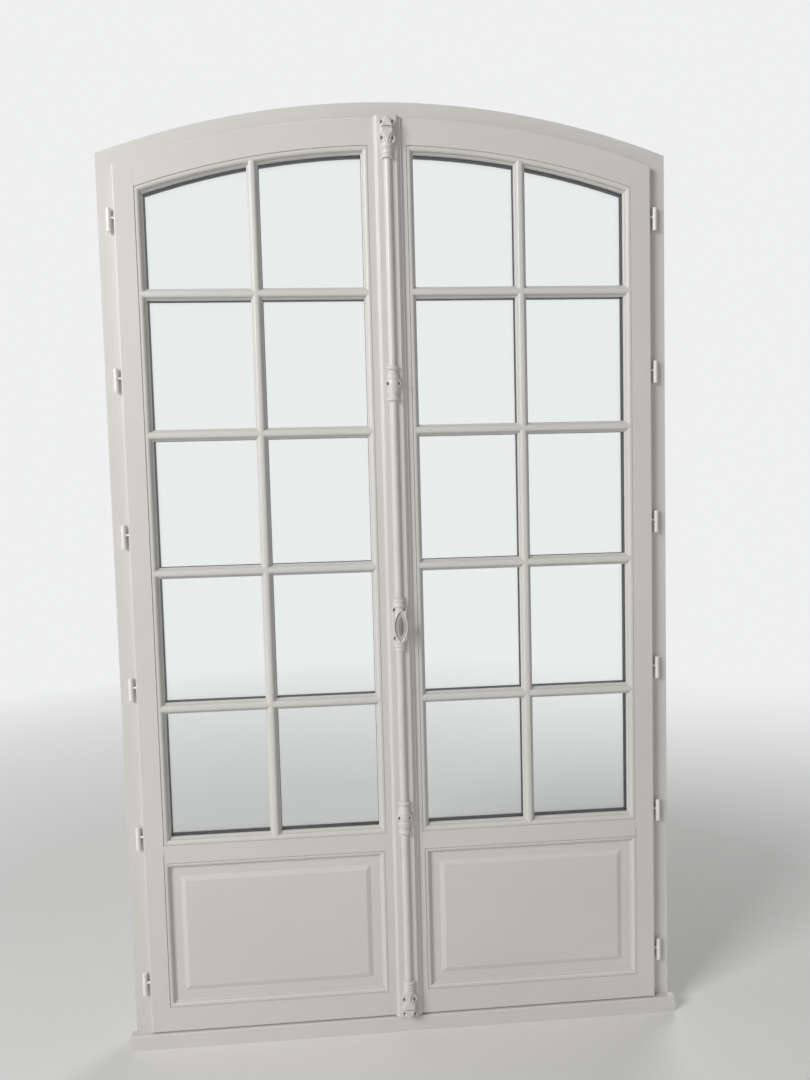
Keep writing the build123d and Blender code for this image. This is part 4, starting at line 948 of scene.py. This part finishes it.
class DOORS_OT_build_stage(bpy.types.Operator):
    """Set up the floor, the soft light and the camera"""

    bl_idname = "doors.build_stage"
    bl_label = "Build the stage"

    def execute(self, context):
        stage = context.scene.door_stage
        lay_floor(tuple(stage.floor_colour), tuple(stage.backdrop_colour))
        light_world(tuple(stage.backdrop_colour), stage.sky_strength)
        hang_lamp("key_lamp", key_lamp_place, key_lamp_size, stage.key_power)
        hang_lamp("fill_lamp", fill_lamp_place, fill_lamp_size, stage.fill_power)
        back_lamp = hang_lamp("back_lamp", back_lamp_place, back_lamp_size, stage.back_power)
        back_lamp.visible_glossy = False
        set_camera(stage)
        context.scene.view_settings.view_transform = "Standard"
        return {"FINISHED"}


def lay_floor(colour, backdrop):
    """A round floor that keeps the doors' shadow and fades into the backdrop further out."""
    bpy.ops.object.select_all(action="DESELECT")
    bpy.ops.mesh.primitive_circle_add(vertices=96, radius=floor_radius, fill_type="NGON")
    floor = bpy.context.object
    floor.name = "studio_floor"
    finish = Finish("studio_floor", colour)
    speckle = finish.noise(finish.place(), scale=35.0, detail=4.0)
    tone = finish.tones(speckle, colour, start=0.98, end=1.02)
    lit = finish.principled(Base_Color=tone, Roughness=0.8)
    distance = finish.distance()
    fade = finish.between(floor_fade_start, floor_fade_end, distance) * finish.seen()
    paper = finish.node("ShaderNodeEmission", inputs={"Color": (*backdrop, 1.0)})
    finish.finish_with(finish.mixed(fade, lit, paper))
    wear(floor, finish.material)


def light_world(backdrop, strength):
    """Even white light from all round, which is seen as the backdrop's colour."""
    world = bpy.data.worlds.new("studio")
    bpy.context.scene.world = world
    world.use_nodes = True
    tree = ShaderTree(world.node_tree, "ShaderNodeOutputWorld")
    white = (1.0, 1.0, 1.0, 1.0)
    light = tree.node("ShaderNodeBackground", inputs={"Color": white, "Strength": strength})
    paper = tree.node("ShaderNodeBackground", inputs={"Color": (*backdrop, 1.0)})
    tree.finish_with(tree.mixed(tree.seen(), light, paper))


def hang_lamp(name, place, size, power):
    """A large square lamp turned to the middle of the doors and not seen itself."""
    bpy.ops.object.select_all(action="DESELECT")
    bpy.ops.object.light_add(type="AREA", location=place)
    lamp = bpy.context.object
    lamp.name = name
    lamp.data.size = size
    lamp.data.energy = power
    sight = Vector(lamp_aim) - Vector(place)
    lamp.rotation_euler = sight.to_track_quat("-Z", "Y").to_euler()
    lamp.visible_camera = False
    lamp.visible_transmission = False
    return lamp


def set_camera(stage):
    """The camera as it stood in the room, from its place and its three turns."""
    yaw, pitch, roll = stage.camera_yaw, stage.camera_pitch, stage.camera_roll
    forward = Vector((sin(yaw) * cos(pitch), cos(yaw) * cos(pitch), -sin(pitch)))
    level_right = Vector((cos(yaw), -sin(yaw), 0.0))
    level_down = forward.cross(level_right)
    right = cos(roll) * level_right + sin(roll) * level_down
    down = cos(roll) * level_down - sin(roll) * level_right
    turn = Matrix((right, -down, -forward)).transposed()
    bpy.ops.object.camera_add()
    camera = bpy.context.object
    camera.name = "room_camera"
    camera.matrix_world = Matrix.Translation(stage.camera_place) @ turn.to_4x4()
    camera.data.sensor_width = film_width
    camera.data.lens = stage.focal_pixels / image_height * film_width
    bpy.context.scene.camera = camera


class DOORS_PT_doors(bpy.types.Panel):
    bl_label = "French doors"
    bl_idname = "DOORS_PT_doors"
    bl_space_type = "VIEW_3D"
    bl_region_type = "UI"
    bl_category = "French doors"

    def draw(self, context):
        layout = self.layout
        for setting in setting_groups:
            group = getattr(context.scene, setting)
            for name in group.__annotations__:
                layout.prop(group, name)
        for operator in operators:
            layout.operator(operator.bl_idname)


setting_groups = {
    "door_paint": PaintSettings,
    "door_panels": PanelSettings,
    "door_casting": CastingSettings,
    "door_glass": GlassSettings,
    "door_stage": StageSettings,
}
operators = (
    DOORS_OT_paint_wood,
    DOORS_OT_paint_trim,
    DOORS_OT_glaze,
    DOORS_OT_finish_hardware,
    DOORS_OT_plane_panels,
    DOORS_OT_carve_caps,
    DOORS_OT_soften_castings,
    DOORS_OT_seat_screws,
    DOORS_OT_build_stage,
)


def register():
    for kind in (*setting_groups.values(), *operators, DOORS_PT_doors):
        bpy.utils.register_class(kind)
    for name, group in setting_groups.items():
        setattr(bpy.types.Scene, name, bpy.props.PointerProperty(type=group))


def unregister():
    for name in setting_groups:
        delattr(bpy.types.Scene, name)
    for kind in reversed((*setting_groups.values(), *operators, DOORS_PT_doors)):
        bpy.utils.unregister_class(kind)


def main():
    register()
    bpy.ops.doors.paint_wood()
    bpy.ops.doors.paint_trim()
    bpy.ops.doors.glaze()
    bpy.ops.doors.finish_hardware()
    bpy.ops.doors.plane_panels()
    bpy.ops.doors.carve_caps()
    bpy.ops.doors.soften_castings()
    bpy.ops.doors.seat_screws()
    bpy.ops.doors.build_stage()


if __name__ == "__main__":
    main()
